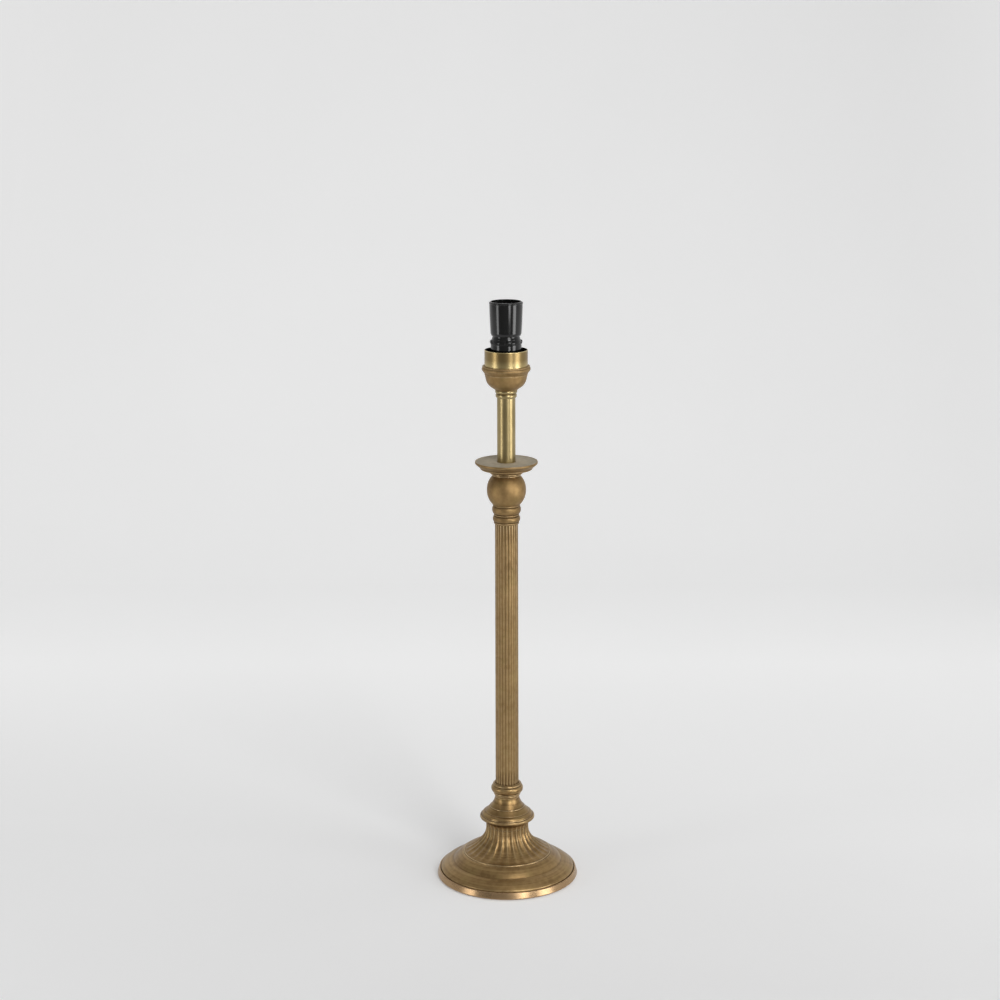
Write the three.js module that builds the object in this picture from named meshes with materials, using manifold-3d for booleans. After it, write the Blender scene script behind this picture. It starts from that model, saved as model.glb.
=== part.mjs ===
// Table lamp base in aged brass: a cast fluted foot, a slim fluted column, a ball, a drip pan and a
// candle tube, carrying a black screw lampholder in a brass cup. One hollow rod clamps the stack.
// Millimetres, +Z up, origin on the table at the lamp's axis, front towards -Y, cable outlet at +Y.

import * as THREE from 'three';
import { mergeVertices } from 'three/addons/utils/BufferGeometryUtils.js';
import Module from 'manifold-3d';

const wasm = await Module();
wasm.setup();

// Counts and turns
const turnedSides = 32;
const stemSides = 24;
const smallSides = 16;
const fluteCount = 28;
const sidesPerFlute = 3;
const columnFlutes = 24;
const screwCount = 3;
const nutSides = 6;
const fullTurn = 2 * Math.PI;
const quarterTurn = Math.PI / 2;

// Clearance of mating pieces, and how far a cut runs past what it cuts
const fitGap = 0.3;
const overrun = 1;
const mergeShare = 0.001;

// Hollow rod with M10 thread, its washers and nuts
const rodRadius = 5;
const rodWall = 1.5;
const rodReach = 0.8;
const nutWall = 2;
const lowerNutThickness = 3.4;
const upperNutThickness = 4;
const washerThickness = 1.3;
const lowerWasherWidth = 8;
const upperWasherWidth = 7;

// Foot
const footRadius = 76.5;
const footLift = 0.5;
const rimEdge = 0.9;
const rimTaper = 1.9;
const rimHeight = 7.6;
const grooveStep = 2.2;
const grooveRise = 1.4;
const outerBandWidth = 11.2;
const outerBandRise = 7.5;
const innerBandWidth = 14.5;
const innerBandRise = 10.2;
const flareRise = 29.3;
const neckRadius = 22.9;
const flarePower = 2.35;
const fluteDepth = 0.9;
const footWall = 3.2;
const footWeb = 5.5;
const rimWall = 7.2;
const plateSeat = 3.3;

// Felt, bottom plate and its screws
const feltThickness = 1.6;
const plateThickness = 1.2;
const screwCircle = 40;
const screwRadius = 1.5;
const screwHeadRadius = 3;
const screwHead = 1;
const screwLength = 6.5;

// Cable outlet in the rear of the rim
const notchWidth = 10;
const notchTop = 6.5;
const bushWall = 1;
const bushFlange = 1.6;

// Iron weight and earth tag
const weightInset = 5.3;
const weightGap = 1.6;
const ledgeWidth = 2.2;
const weightWeb = 3.2;
const pocketMargin = 4;
const tagThickness = 0.8;
const tagWall = 3;
const tagReach = 7;
const tagWidth = 6;

// Knop and ring under the column
const knopHeight = 33.5;
const knopEdgeRise = 8.9;
const knopBulge = 7;
const knopTopRadius = 13.2;
const knopWall = 6;
const ringHeight = 16.2;
const ringRise = 9.4;
const ringBulge = 4.1;
const recessDepth = 8.6;

// Fluted column and its centring bushes
const columnShown = 289.3;
const columnRadius = 12.5;
const columnWall = 2.4;
const columnFluteDepth = 0.7;
const centringLength = 12;

// Capital, ball and neck ring
const beadsHeight = 21;
const capitalWall = 0.4;
const lowerBeadBulge = 1.3;
const upperBeadBulge = 2;
const beadsNeckBulge = 1.3;
const capitalDepth = 3;
const ballHeight = 31;
const ballRadius = 20.6;
const ballSeatRadius = 14.5;
const ballWall = 3.2;
const neckHeight = 4;
const neckSeatRadius = 15;
const neckLowBulge = 0.8;
const neckHighBulge = 2.7;

// Drip pan
const panHeight = 11.3;
const panHubRadius = 17.4;
const panStepRise = 3.8;
const panStepWidth = 10;
const panRimRise = 9.6;
const panRimWidth = 5.7;
const panLip = 0.5;
const panLipWidth = 1.4;
const tubeRecess = 2;

// Candle tube and double collar
const tubeShown = 67.7;
const tubeRadius = 9.65;
const tubeWall = 1;
const collarHeight = 8.3;
const collarLowBulge = 0.8;
const collarHighBulge = 1.4;
const collarGrooveBulge = 0.5;
const collarRecess = 1.5;

// Cup and sleeve
const cupHeight = 25.4;
const cupFloor = 3.6;
const cupWall = 1.9;
const cupBowlRise = 16.7;
const cupBowlRadius = 22.3;
const lipFlare = 3.2;
const lipRise = 5.4;
const lipEdge = 0.8;
const sleeveRadius = 22.7;
const sleeveWall = 0.9;
const sleeveShown = 16.8;
const sleeveSeat = 4.8;
const seatLand = 1.7;

// Lampholder
const capShown = 14.7;
const capBossWall = 3;
const capBossHeight = 7;
const capFloor = 4;
const capRadius = 16.2;
const capFoot = 3.5;
const capBandBulge = 0.8;
const capBandDrop = 5;
const capBandHeight = 2;
const capNeckRadius = 14.1;
const capNeckWall = 3.5;
const capNeckRise = 8.6;
const shellHeight = 35.6;
const shellFootWall = 0.9;
const shellChamfer = 3.2;
const shellLowRadius = 16.3;
const shellTaper = 1.1;
const shellBeadBulge = 0.4;
const shellBeadDrop = 1.7;
const shellBeadHalf = 0.8;
const mouthRadius = 15.3;
const mouthLand = 1.4;
const mouthDepth = 4.2;
const threadRadius = 13.2;
const lockScrewRadius = 1.3;

// Core, terminals and contacts of the lampholder
const coreThickness = 6;
const corePlugDepth = 8;
const blockWidth = 5;
const blockHeight = 7;
const blockPlace = 5.4;
const terminalRadius = 1.4;
const terminalHeadRadius = 2.3;
const terminalHead = 1.6;
const leafWidth = 4;
const leafThickness = 0.5;
const contactFoot = 5;
const centreRootPlace = 7;
const centreRise = 3.4;
const centreReach = 9.6;
const sideRootPlace = 12;
const sideRise = 9.4;
const sideLean = 1.45;
const rivetRadius = 0.8;
const rivetHeadRadius = 1.4;
const rivetHead = 0.6;
const rivetDepth = 4;

// Heights of the seams, from the table up
const grooveTop = rimHeight + grooveRise;
const stepTop = grooveTop + outerBandRise;
const fluteBottom = stepTop + innerBandRise;
const footTop = fluteBottom + flareRise;
const knopTop = footTop + knopHeight;
const ringTop = knopTop + ringHeight;
const columnTop = ringTop + columnShown;
const beadsTop = columnTop + beadsHeight;
const ballTop = beadsTop + ballHeight;
const neckTop = ballTop + neckHeight;
const panTop = neckTop + panHeight;
const tubeTop = panTop + tubeShown;
const collarTop = tubeTop + collarHeight;
const cupTop = collarTop + cupHeight;
const sleeveTop = cupTop + sleeveShown;
const shellBottom = sleeveTop + capShown;
const shellTop = shellBottom + shellHeight;

// Radii that several pieces share
const rodHole = rodRadius + fitGap;
const rimTopRadius = footRadius - rimTaper;
const grooveRadius = rimTopRadius - grooveStep;
const stepRadius = grooveRadius - outerBandWidth;
const fluteEndRadius = stepRadius - innerBandWidth;
const cavityRadius = footRadius - rimWall;
const plateRadius = cavityRadius + plateSeat;
const ledgeRadius = stepRadius - weightInset;
const weightRadius = ledgeRadius - fitGap;
const columnSocket = columnRadius + fitGap;
const panStepRadius = panHubRadius + panStepWidth;
const panRadius = panStepRadius + panRimWidth;
const tubeSocket = tubeRadius + fitGap;
const sleeveSocket = sleeveRadius + fitGap;
const shellBore = capNeckRadius + fitGap;
const capNeckBore = capNeckRadius - capNeckWall;
const plugRadius = capNeckBore - fitGap;

// Heights inside the foot
const plateTop = feltThickness + plateThickness;
const bandSlope = outerBandRise / outerBandWidth;
const bandDrop = footWall * Math.hypot(1, bandSlope);
const weightBottom = plateTop + weightGap;
const weightTop = roofHeight(ledgeRadius);
const washerTop = weightTop - weightWeb;
const tagTop = washerTop - washerThickness;
const lowerNutTop = tagTop - tagThickness;
const lowerNutBottom = lowerNutTop - lowerNutThickness;
const rodBottom = lowerNutBottom - rodReach;

// Heights inside the column, the pan, the collar and the cup
const columnBottom = ringTop - recessDepth;
const columnEnd = columnTop + capitalDepth;
const panFace = panTop - panLip;
const tubeBottom = panFace - tubeRecess;
const tubeEnd = tubeTop + collarRecess;
const cupInside = collarTop + cupFloor;
const sleeveBottom = cupTop - sleeveSeat;
const upperNutBottom = cupInside + washerThickness;

// Heights inside the lampholder
const capBottom = upperNutBottom + upperNutThickness;
const bossTop = capBottom + capBossHeight;
const capFloorTop = bossTop + capFloor;
const rodTop = capFloorTop + rodReach;
const capNeckTop = shellBottom + capNeckRise;
const coreTop = capNeckTop + coreThickness;
const plugBottom = capNeckTop - corePlugDepth;
const blockBottom = plugBottom - blockHeight;
const contactTop = coreTop + leafThickness;

// Finishes
const castBrass = finish(0x7d6640, 0.5, 0.9);
const drawnBrass = finish(0xa48a4c, 0.3, 1);
const plainBrass = finish(0xb59a5a, 0.35, 1);
const blackPlastic = finish(0x1f1f1e, 0.3, 0);
const blackRubber = finish(0x2a2a2a, 0.8, 0);
const darkFelt = finish(0x2f2b26, 1, 0);
const zincSteel = finish(0xb8bac0, 0.4, 1);
const greyIron = finish(0x4a4a4c, 0.8, 0.7);

function finish(color, roughness, metalness) {
  return { color, roughness, metalness };
}

// Height of the cavity's sloping roof under the outer band
function roofHeight(radius) {
  return stepTop + (stepRadius - radius) * bandSlope - bandDrop;
}

// Blends from one value to another by a share
function between(from, to, share) {
  return from + (to - from) * share;
}

// Points on an ellipse about (r, z), for the round stretches of a profile; angles in degrees, with 0
// outwards and 90 up
function arc(r, z, halfWidth, halfHeight, fromAngle, toAngle, steps) {
  const points = [];
  for (let i = 0; i <= steps; i += 1) {
    const angle = THREE.MathUtils.degToRad(between(fromAngle, toAngle, i / steps));
    points.push([r + halfWidth * Math.cos(angle), z + halfHeight * Math.sin(angle)]);
  }
  return points;
}

// Maps pairs of shares, of the way out and of the way up, to points between two corners of a profile
function shaped(shares, fromRadius, toRadius, fromHeight, toHeight) {
  return shares.map(([outShare, upShare]) => [
    between(fromRadius, toRadius, outShare),
    between(fromHeight, toHeight, upShare),
  ]);
}

// Merges shared vertices and drops triangles that have no area
function cleaned(geometry) {
  const bare = geometry.clone();
  bare.deleteAttribute('normal');
  bare.deleteAttribute('uv');
  const merged = mergeVertices(bare, fitGap * mergeShare);
  const index = merged.index.array;
  const kept = [];
  for (let i = 0; i < index.length; i += 3) {
    const [a, b, c] = [index[i], index[i + 1], index[i + 2]];
    if (a !== b && b !== c && c !== a) kept.push(a, b, c);
  }
  merged.setIndex(kept);
  return merged;
}

// Turns the faces outwards if the signed volume says that they point in
function outward(geometry) {
  const place = geometry.attributes.position;
  const index = geometry.index.array;
  const [a, b, c] = [new THREE.Vector3(), new THREE.Vector3(), new THREE.Vector3()];
  let volume = 0;
  for (let i = 0; i < index.length; i += 3) {
    a.fromBufferAttribute(place, index[i]);
    b.fromBufferAttribute(place, index[i + 1]);
    c.fromBufferAttribute(place, index[i + 2]);
    volume += a.dot(b.cross(c));
  }
  if (volume < 0) {
    for (let i = 0; i < index.length; i += 3) {
      [index[i], index[i + 1]] = [index[i + 1], index[i]];
    }
  }
  geometry.computeVertexNormals();
  return geometry;
}

// A closed solid turned about the lamp's axis from a ring of [radius, height] points
function turned(profile, sides = turnedSides) {
  const points = [...profile, profile[0]].map(([r, z]) => new THREE.Vector2(r, z));
  const geometry = new THREE.LatheGeometry(points, sides);
  geometry.rotateX(quarterTurn);
  return outward(cleaned(geometry));
}

// A plain ring with a rectangular section
function ring(outer, inner, bottom, top, sides = turnedSides) {
  return turned([[inner, bottom], [outer, bottom], [outer, top], [inner, top]], sides);
}

// A rod along Z through (x, y)
function round(radius, bottom, top, x = 0, y = 0, sides = smallSides) {
  const geometry = new THREE.CylinderGeometry(radius, radius, top - bottom, sides);
  geometry.rotateX(quarterTurn);
  geometry.translate(x, y, (bottom + top) / 2);
  return outward(cleaned(geometry));
}

// A block between two corners
function block(x0, x1, y0, y1, z0, z1) {
  const geometry = new THREE.BoxGeometry(x1 - x0, y1 - y0, z1 - z0);
  geometry.translate((x0 + x1) / 2, (y0 + y1) / 2, (z0 + z1) / 2);
  return outward(cleaned(geometry));
}

// A flat shape with a round hole about the axis, made solid between two heights
function prism(outline, hole, bottom, top, holeSides) {
  const shape = new THREE.Shape(outline);
  shape.holes.push(new THREE.Path().absarc(0, 0, hole, 0, fullTurn, true));
  const settings = { depth: top - bottom, bevelEnabled: false, curveSegments: holeSides };
  const geometry = new THREE.ExtrudeGeometry(shape, settings);
  geometry.translate(0, 0, bottom);
  return outward(cleaned(geometry));
}

// Points around the axis, with a radius for each step
function around(steps, radiusAt) {
  const points = [];
  for (let i = 0; i < steps; i += 1) {
    const angle = (fullTurn * i) / steps;
    points.push(new THREE.Vector2(radiusAt(i) * Math.cos(angle), radiusAt(i) * Math.sin(angle)));
  }
  return points;
}

function nut(bottom, top) {
  const corner = (rodRadius + nutWall) / Math.cos(Math.PI / nutSides);
  return prism(around(nutSides, () => corner), rodHole, bottom, top, smallSides);
}

function solid(geometry) {
  const merged = cleaned(geometry);
  return new wasm.Manifold(new wasm.Mesh({
    numProp: 3,
    vertProperties: new Float32Array(merged.attributes.position.array),
    triVerts: new Uint32Array(merged.index.array),
  }));
}

function surface(manifold) {
  const mesh = manifold.getMesh();
  const geometry = new THREE.BufferGeometry();
  geometry.setAttribute('position', new THREE.BufferAttribute(mesh.vertProperties, 3));
  geometry.setIndex(Array.from(mesh.triVerts));
  return outward(geometry);
}

// Takes the tools away from a body
function cut(body, ...tools) {
  return surface(tools.reduce((left, tool) => left.subtract(solid(tool)), solid(body)));
}

// Joins overlapping bodies into one solid
function join(body, ...more) {
  return surface(more.reduce((whole, next) => whole.add(solid(next)), solid(body)));
}

// Foot

// A concave sweep that falls fast and then runs out into the neck
function flarePoints(outRadius, outHeight, inRadius, inHeight, steps) {
  const points = [];
  for (let i = 0; i <= steps; i += 1) {
    const share = i / steps;
    const radius = between(inRadius, outRadius, (1 - share) ** flarePower);
    points.push([radius, between(outHeight, inHeight, share)]);
  }
  return points;
}

function footOutline() {
  const bandShares = [[0.5, 0.53]];
  const flareSteps = 8;
  return [
    [0, footLift],
    [footRadius - rimEdge, footLift],
    [footRadius, footLift + rimEdge],
    [rimTopRadius, rimHeight],
    [grooveRadius, grooveTop],
    ...shaped(bandShares, grooveRadius, stepRadius, grooveTop, stepTop),
    [stepRadius, stepTop],
    ...shaped(bandShares, stepRadius, fluteEndRadius, stepTop, fluteBottom),
    ...flarePoints(fluteEndRadius, fluteBottom, neckRadius, footTop, flareSteps),
    [0, footTop],
  ];
}

// Presses flutes into the flare: every third side stays a ridge, and the others sink
function withFlutes(geometry) {
  const place = geometry.attributes.position;
  for (let i = 0; i < place.count; i += 1) {
    const [x, y, z] = [place.getX(i), place.getY(i), place.getZ(i)];
    const radius = Math.hypot(x, y);
    const column = Math.round((Math.atan2(x, -y) / fullTurn) * fluteCount * sidesPerFlute);
    const share = (z - fluteBottom) / flareRise;
    const inFlute = column % sidesPerFlute !== 0 && share > mergeShare && share < 1 - mergeShare;
    if (inFlute) {
      const sunkShare = 1 - fluteDepth / radius;
      place.setXY(i, x * sunkShare, y * sunkShare);
    }
  }
  return geometry;
}

function footCavity() {
  const flareSteps = 4;
  const ledgeInside = ledgeRadius - ledgeWidth;
  const neckInside = neckRadius - footWall - fluteDepth;
  return turned([
    [0, footLift - overrun],
    [plateRadius + fitGap, footLift - overrun],
    [plateRadius + fitGap, plateTop],
    [cavityRadius, plateTop],
    [cavityRadius, roofHeight(cavityRadius)],
    [ledgeRadius, weightTop],
    [ledgeInside, weightTop],
    [ledgeInside, roofHeight(ledgeInside)],
    ...flarePoints(fluteEndRadius - footWall, fluteBottom - footWall, neckInside, footTop - footWeb, flareSteps),
    [0, footTop - footWeb],
  ]);
}

function cableNotch(clearance) {
  const half = notchWidth / 2 + clearance;
  return block(-half, half, ledgeRadius, footRadius + overrun, -overrun, notchTop + clearance);
}

function baseFoot() {
  const outer = withFlutes(turned(footOutline(), fluteCount * sidesPerFlute));
  return cut(outer, footCavity(), round(rodHole, 0, footTop + overrun), cableNotch(0));
}

// Places of the bottom screws, the first towards the front
function screwPlaces() {
  const places = [];
  for (let i = 0; i < screwCount; i += 1) {
    const angle = (fullTurn * i) / screwCount - quarterTurn;
    places.push([screwCircle * Math.cos(angle), screwCircle * Math.sin(angle)]);
  }
  return places;
}

function screwHoles(radius, top) {
  return screwPlaces().map(([x, y]) => round(radius, -overrun, top, x, y));
}

function feltPad() {
  const disc = round(plateRadius, 0, feltThickness, 0, 0, turnedSides);
  return cut(disc, cableNotch(fitGap), ...screwHoles(screwHeadRadius + fitGap, plateTop));
}

function bottomPlate() {
  const disc = round(plateRadius, feltThickness, plateTop, 0, 0, turnedSides);
  return cut(disc, cableNotch(fitGap), ...screwHoles(screwRadius + fitGap, weightBottom));
}

function plateScrew([x, y]) {
  return join(
    round(screwHeadRadius, feltThickness - screwHead, feltThickness, x, y),
    round(screwRadius, feltThickness - screwHead / 2, feltThickness + screwLength, x, y),
  );
}

// Rubber arch that lines the notch, with a flange inside the rim
function cableBush() {
  const half = notchWidth / 2 - fitGap;
  const top = notchTop - fitGap;
  const flangeHalf = half + bushFlange;
  const sag = (flangeHalf * flangeHalf) / (2 * cavityRadius);
  const wallFace = cavityRadius * Math.cos(Math.PI / turnedSides) - sag - fitGap;
  const inside = wallFace - bushWall;
  const wayHalf = half - bushWall;
  return cut(
    join(
      block(-half, half, inside, rimTopRadius, footLift, top),
      block(-flangeHalf, flangeHalf, inside, wallFace, plateTop + fitGap, notchTop),
    ),
    block(-wayHalf, wayHalf, ledgeRadius, footRadius + overrun, -overrun, top - bushWall),
  );
}

function baseWeight() {
  const pocketRadius = rodRadius + lowerWasherWidth + pocketMargin;
  const grooveHalf = notchWidth / 2;
  return cut(
    ring(weightRadius, rodHole, weightBottom, weightTop),
    round(pocketRadius, 0, washerTop, 0, 0, turnedSides),
    block(-grooveHalf, grooveHalf, 0, weightRadius + overrun, 0, washerTop),
    ...screwHoles(screwRadius + fitGap, feltThickness + screwLength + fitGap),
  );
}

function lowerWasher() {
  return ring(rodRadius + lowerWasherWidth, rodHole, tagTop, washerTop, stemSides);
}

// Ring terminal under the nut, pointing to the front
function earthTag() {
  const outer = rodHole + tagWall;
  const end = outer + tagReach;
  const half = tagWidth / 2;
  return cut(
    join(
      ring(outer, rodHole, lowerNutTop, tagTop, smallSides),
      block(-half, half, -end, -rodHole - tagWall / 2, lowerNutTop, tagTop),
    ),
    round(half / 2, lowerNutTop - overrun, tagTop + overrun, 0, half - end),
  );
}

function lowerNut() {
  return nut(lowerNutBottom, lowerNutTop);
}

function centreRod() {
  return ring(rodRadius, rodRadius - rodWall, rodBottom, rodTop, smallSides);
}

// Stem

function baseKnop() {
  const edge = footTop + knopEdgeRise;
  const knopRadius = neckRadius + knopBulge;
  const seatInside = neckRadius - knopWall;
  const underShares = [[0.08, 0.26], [0.35, 0.58], [0.81, 0.9]];
  const bellShares = [[0.05, 0.09], [0.3, 0.29], [0.54, 0.45], [0.78, 0.63], [0.95, 0.85]];
  return turned([
    [seatInside, footTop],
    [neckRadius, footTop],
    ...shaped(underShares, neckRadius, knopRadius, footTop, edge),
    [knopRadius, edge],
    ...shaped(bellShares, knopRadius, knopTopRadius, edge, knopTop),
    [knopTopRadius, knopTop],
    [rodHole, knopTop],
    [rodHole, knopTop - knopWall],
    [between(rodHole, knopTopRadius, 1 / 2), knopTop - knopWall],
    [seatInside, edge],
  ], stemSides);
}

function columnFootRing() {
  const middle = knopTop + ringRise;
  const ringRadius = knopTopRadius + ringBulge;
  const riseShares = [[0.03, 0.16], [0.14, 0.27], [0.56, 0.48], [0.85, 0.73]];
  const fallShares = [[0.2, 0.31], [0.5, 0.76], [0.83, 1], [1, 0.86]];
  return turned([
    [rodHole, knopTop],
    [knopTopRadius, knopTop],
    ...shaped(riseShares, knopTopRadius, ringRadius, knopTop, middle),
    [ringRadius, middle],
    ...shaped(fallShares, ringRadius, columnSocket, middle, ringTop),
    [columnSocket, columnBottom],
    [rodHole, columnBottom],
  ], stemSides);
}

function flutedColumn() {
  const dipShares = [0, 0.75, 1, 0.75];
  const steps = columnFlutes * dipShares.length;
  const outline = around(steps, (i) => columnRadius - columnFluteDepth * dipShares[i % dipShares.length]);
  return prism(outline, columnRadius - columnWall, columnBottom, columnEnd, stemSides);
}

// Centres the rod in one end of the column
function columnBush(bottom) {
  return ring(columnRadius - columnWall - fitGap, rodHole, bottom, bottom + centringLength, stemSides);
}

function capitalBeads() {
  const grooveAt = columnSocket + capitalWall;
  const lowShare = 0.25;
  const lowHalfShare = 0.18;
  const highShare = 0.73;
  const highHalfShare = 0.2;
  const neckShare = 0.9;
  const neckAt = grooveAt + beadsNeckBulge;
  const low = between(columnTop, beadsTop, lowShare);
  const high = between(columnTop, beadsTop, highShare);
  return turned([
    [columnSocket, columnTop],
    [grooveAt, columnTop],
    ...arc(grooveAt, low, lowerBeadBulge, beadsHeight * lowHalfShare, -80, 80, 4),
    ...arc(grooveAt, high, upperBeadBulge, beadsHeight * highHalfShare, -80, 40, 4),
    [neckAt, between(columnTop, beadsTop, neckShare)],
    [neckAt, beadsTop],
    [rodHole, beadsTop],
    [rodHole, columnEnd],
    [columnSocket, columnEnd],
  ], stemSides);
}

// Ball with flat seats and a narrow straight belt, hollow with a bore through both seats
function stemBall() {
  const seatHeight = Math.sqrt(ballRadius ** 2 - ballSeatRadius ** 2);
  const seatAngle = THREE.MathUtils.radToDeg(Math.asin(seatHeight / ballRadius));
  const low = beadsTop + seatHeight;
  const high = ballTop - seatHeight;
  const inner = ballRadius - ballWall;
  const coreHeight = seatHeight - ballWall;
  const boreAngle = THREE.MathUtils.radToDeg(Math.acos(rodHole / inner));
  const innerHeight = coreHeight / Math.sin(THREE.MathUtils.degToRad(boreAngle));
  return turned([
    [rodHole, beadsTop],
    ...arc(0, low, ballRadius, ballRadius, -seatAngle, 0, 5),
    ...arc(0, high, ballRadius, ballRadius, 0, seatAngle, 5),
    [rodHole, ballTop],
    ...arc(0, high, inner, innerHeight, boreAngle, 0, 2),
    ...arc(0, low, inner, innerHeight, 0, -boreAngle, 2),
  ]);
}

function neckRing() {
  const lowShare = 0.27;
  const highShare = 0.77;
  const halfShare = 0.22;
  const half = neckHeight * halfShare;
  return turned([
    [rodHole, ballTop],
    [neckSeatRadius, ballTop],
    ...arc(neckSeatRadius, between(ballTop, neckTop, lowShare), neckLowBulge, half, -80, 80, 3),
    ...arc(neckSeatRadius, between(ballTop, neckTop, highShare), neckHighBulge, half, -80, 80, 3),
    [neckSeatRadius, neckTop],
    [rodHole, neckTop],
  ], stemSides);
}

// Drip pan, candle tube and collar

function dripPan() {
  const step = neckTop + panStepRise;
  const rim = neckTop + panRimRise;
  const lipInside = panRadius - panLipWidth;
  const hubShares = [[0.36, 0.26], [0.95, 0.79]];
  const rimShares = [[0.17, 0.22], [0.83, 0.74], [0.98, 0.91]];
  return turned([
    [rodHole, neckTop],
    [panHubRadius, neckTop],
    ...shaped(hubShares, panHubRadius, panStepRadius, neckTop, step),
    [panStepRadius, step],
    ...shaped(rimShares, panStepRadius, panRadius, step, rim),
    [panRadius, rim],
    [panRadius, panTop],
    [lipInside, panTop],
    [lipInside - panLip, panFace],
    [tubeSocket, panFace],
    [tubeSocket, tubeBottom],
    [rodHole, tubeBottom],
  ]);
}

function candleTube() {
  return ring(tubeRadius, tubeRadius - tubeWall, tubeBottom, tubeEnd, stemSides);
}

function candleCollar() {
  const lip = tubeSocket + fitGap;
  const lowShare = 0.34;
  const grooveShare = 0.57;
  const highShare = 0.8;
  const low = between(tubeTop, collarTop, lowShare);
  const groove = between(tubeTop, collarTop, grooveShare);
  const high = between(tubeTop, collarTop, highShare);
  return turned([
    [tubeSocket, tubeTop],
    [lip, tubeTop],
    ...arc(lip, low, collarLowBulge, low - tubeTop, -60, 60, 3),
    [lip + collarGrooveBulge, groove],
    ...arc(lip, high, collarHighBulge, high - groove, -50, 40, 2),
    [lip + collarGrooveBulge, collarTop],
    [rodHole, collarTop],
    [rodHole, tubeEnd],
    [tubeSocket, tubeEnd],
  ], stemSides);
}

// Cup and sleeve

function socketCup() {
  const cupFoot = tubeSocket + fitGap + collarHighBulge;
  const bowl = collarTop + cupBowlRise;
  const lip = bowl + lipRise;
  const lipRadius = cupBowlRadius + lipFlare;
  const landRadius = sleeveSocket + seatLand;
  const inside = cupBowlRadius - cupWall;
  const bowlShares = [[0.09, 0.04], [0.35, 0.16], [0.65, 0.33], [0.84, 0.55], [0.96, 0.85]];
  const lipShares = [[0.15, 0.19], [0.95, 0.85]];
  const insideShares = [[0.06, 0.65], [0.35, 0.22], [1, 0]];
  return turned([
    [rodHole, collarTop],
    [cupFoot, collarTop],
    ...shaped(bowlShares, cupFoot, cupBowlRadius, collarTop, bowl),
    [cupBowlRadius, bowl],
    ...shaped(lipShares, cupBowlRadius, lipRadius, bowl, lip),
    [lipRadius, lip + lipEdge],
    [landRadius, lip + lipEdge * 2],
    [landRadius, cupTop],
    [sleeveSocket, cupTop],
    [sleeveSocket, sleeveBottom],
    [inside, sleeveBottom],
    ...shaped(insideShares, inside, cupFoot + cupWall, cupInside, bowl),
    [rodHole, cupInside],
  ]);
}

function gallerySleeve() {
  const inner = sleeveRadius - sleeveWall;
  return turned([
    [inner, sleeveBottom],
    [sleeveRadius, sleeveBottom],
    [sleeveRadius, sleeveTop - sleeveWall],
    [sleeveRadius - sleeveWall / 2, sleeveTop],
    [inner, sleeveTop],
  ]);
}

function upperWasher() {
  return ring(rodRadius + upperWasherWidth, rodHole, cupInside, upperNutBottom, stemSides);
}

function upperNut() {
  return nut(upperNutBottom, capBottom);
}

// Lampholder

// Grub screw through the cap's boss, along Y, that stops the cap from turning on the rod
function lockScrewRod(radius, start, end) {
  const geometry = new THREE.CylinderGeometry(radius, radius, end - start, smallSides);
  geometry.translate(0, (start + end) / 2, capBottom + capBossHeight / 2);
  return outward(cleaned(geometry));
}

function capLockScrew() {
  return lockScrewRod(lockScrewRadius, rodHole, rodHole + capBossWall);
}

function holderCap() {
  const bandTop = shellBottom - capBandDrop;
  const bandBottom = bandTop - capBandHeight;
  const bandShares = [[0.6, 0], [1, 0.8]];
  const body = turned([
    [rodHole, capBottom],
    [rodHole + capBossWall, capBottom],
    [rodHole + capBossWall, bossTop],
    [capRadius - capFoot, bossTop],
    [capRadius, bossTop + capFoot],
    [capRadius, bandBottom - capBandHeight],
    ...shaped(bandShares, capRadius, capRadius + capBandBulge, bandBottom, bandTop),
    [capRadius, bandTop],
    [capNeckRadius, bandTop + capBandHeight],
    [capNeckRadius, capNeckTop],
    [capNeckBore, capNeckTop],
    [capNeckBore, capFloorTop],
    [rodHole, capFloorTop],
  ], stemSides);
  const hole = lockScrewRod(lockScrewRadius + fitGap, rodRadius, rodHole + capBossWall + overrun);
  return cut(body, hole);
}

function holderShell() {
  const beadMiddle = shellTop - shellBeadDrop;
  const highRadius = shellLowRadius + shellTaper;
  return turned([
    [shellBore, shellBottom],
    [shellBore + shellFootWall, shellBottom],
    [shellLowRadius, shellBottom + shellChamfer],
    [highRadius, beadMiddle - shellBeadHalf],
    [highRadius + shellBeadBulge, beadMiddle],
    [highRadius, beadMiddle + shellBeadHalf],
    [mouthRadius + mouthLand, shellTop],
    [mouthRadius, shellTop],
    [mouthRadius, shellTop - mouthDepth],
    [threadRadius, shellTop - mouthDepth - (mouthRadius - threadRadius)],
    [threadRadius, coreTop],
    [shellBore, coreTop],
  ], stemSides);
}

const footPlaces = [-centreRootPlace - contactFoot / 2, sideRootPlace - contactFoot / 2];

function holderCore() {
  const body = turned([
    [0, plugBottom],
    [plugRadius, plugBottom],
    [plugRadius, capNeckTop],
    [capNeckRadius, capNeckTop],
    [capNeckRadius, coreTop],
    [0, coreTop],
  ], stemSides);
  const holeBottom = coreTop - rivetDepth - fitGap;
  const holes = footPlaces.map((y) => round(rivetRadius + fitGap, holeBottom, coreTop + overrun, 0, y));
  return cut(body, ...holes);
}

function terminalBlock(x) {
  const half = blockWidth / 2;
  return cut(
    block(x - half, x + half, -half, half, blockBottom, plugBottom),
    round(terminalRadius + fitGap, blockBottom - overrun, blockBottom + blockHeight / 2, x),
  );
}

function terminalScrew(x) {
  return join(
    round(terminalHeadRadius, blockBottom - terminalHead, blockBottom, x),
    round(terminalRadius, blockBottom - terminalHead / 2, blockBottom + blockHeight / 2 - fitGap, x),
  );
}

// Sprung contacts

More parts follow.
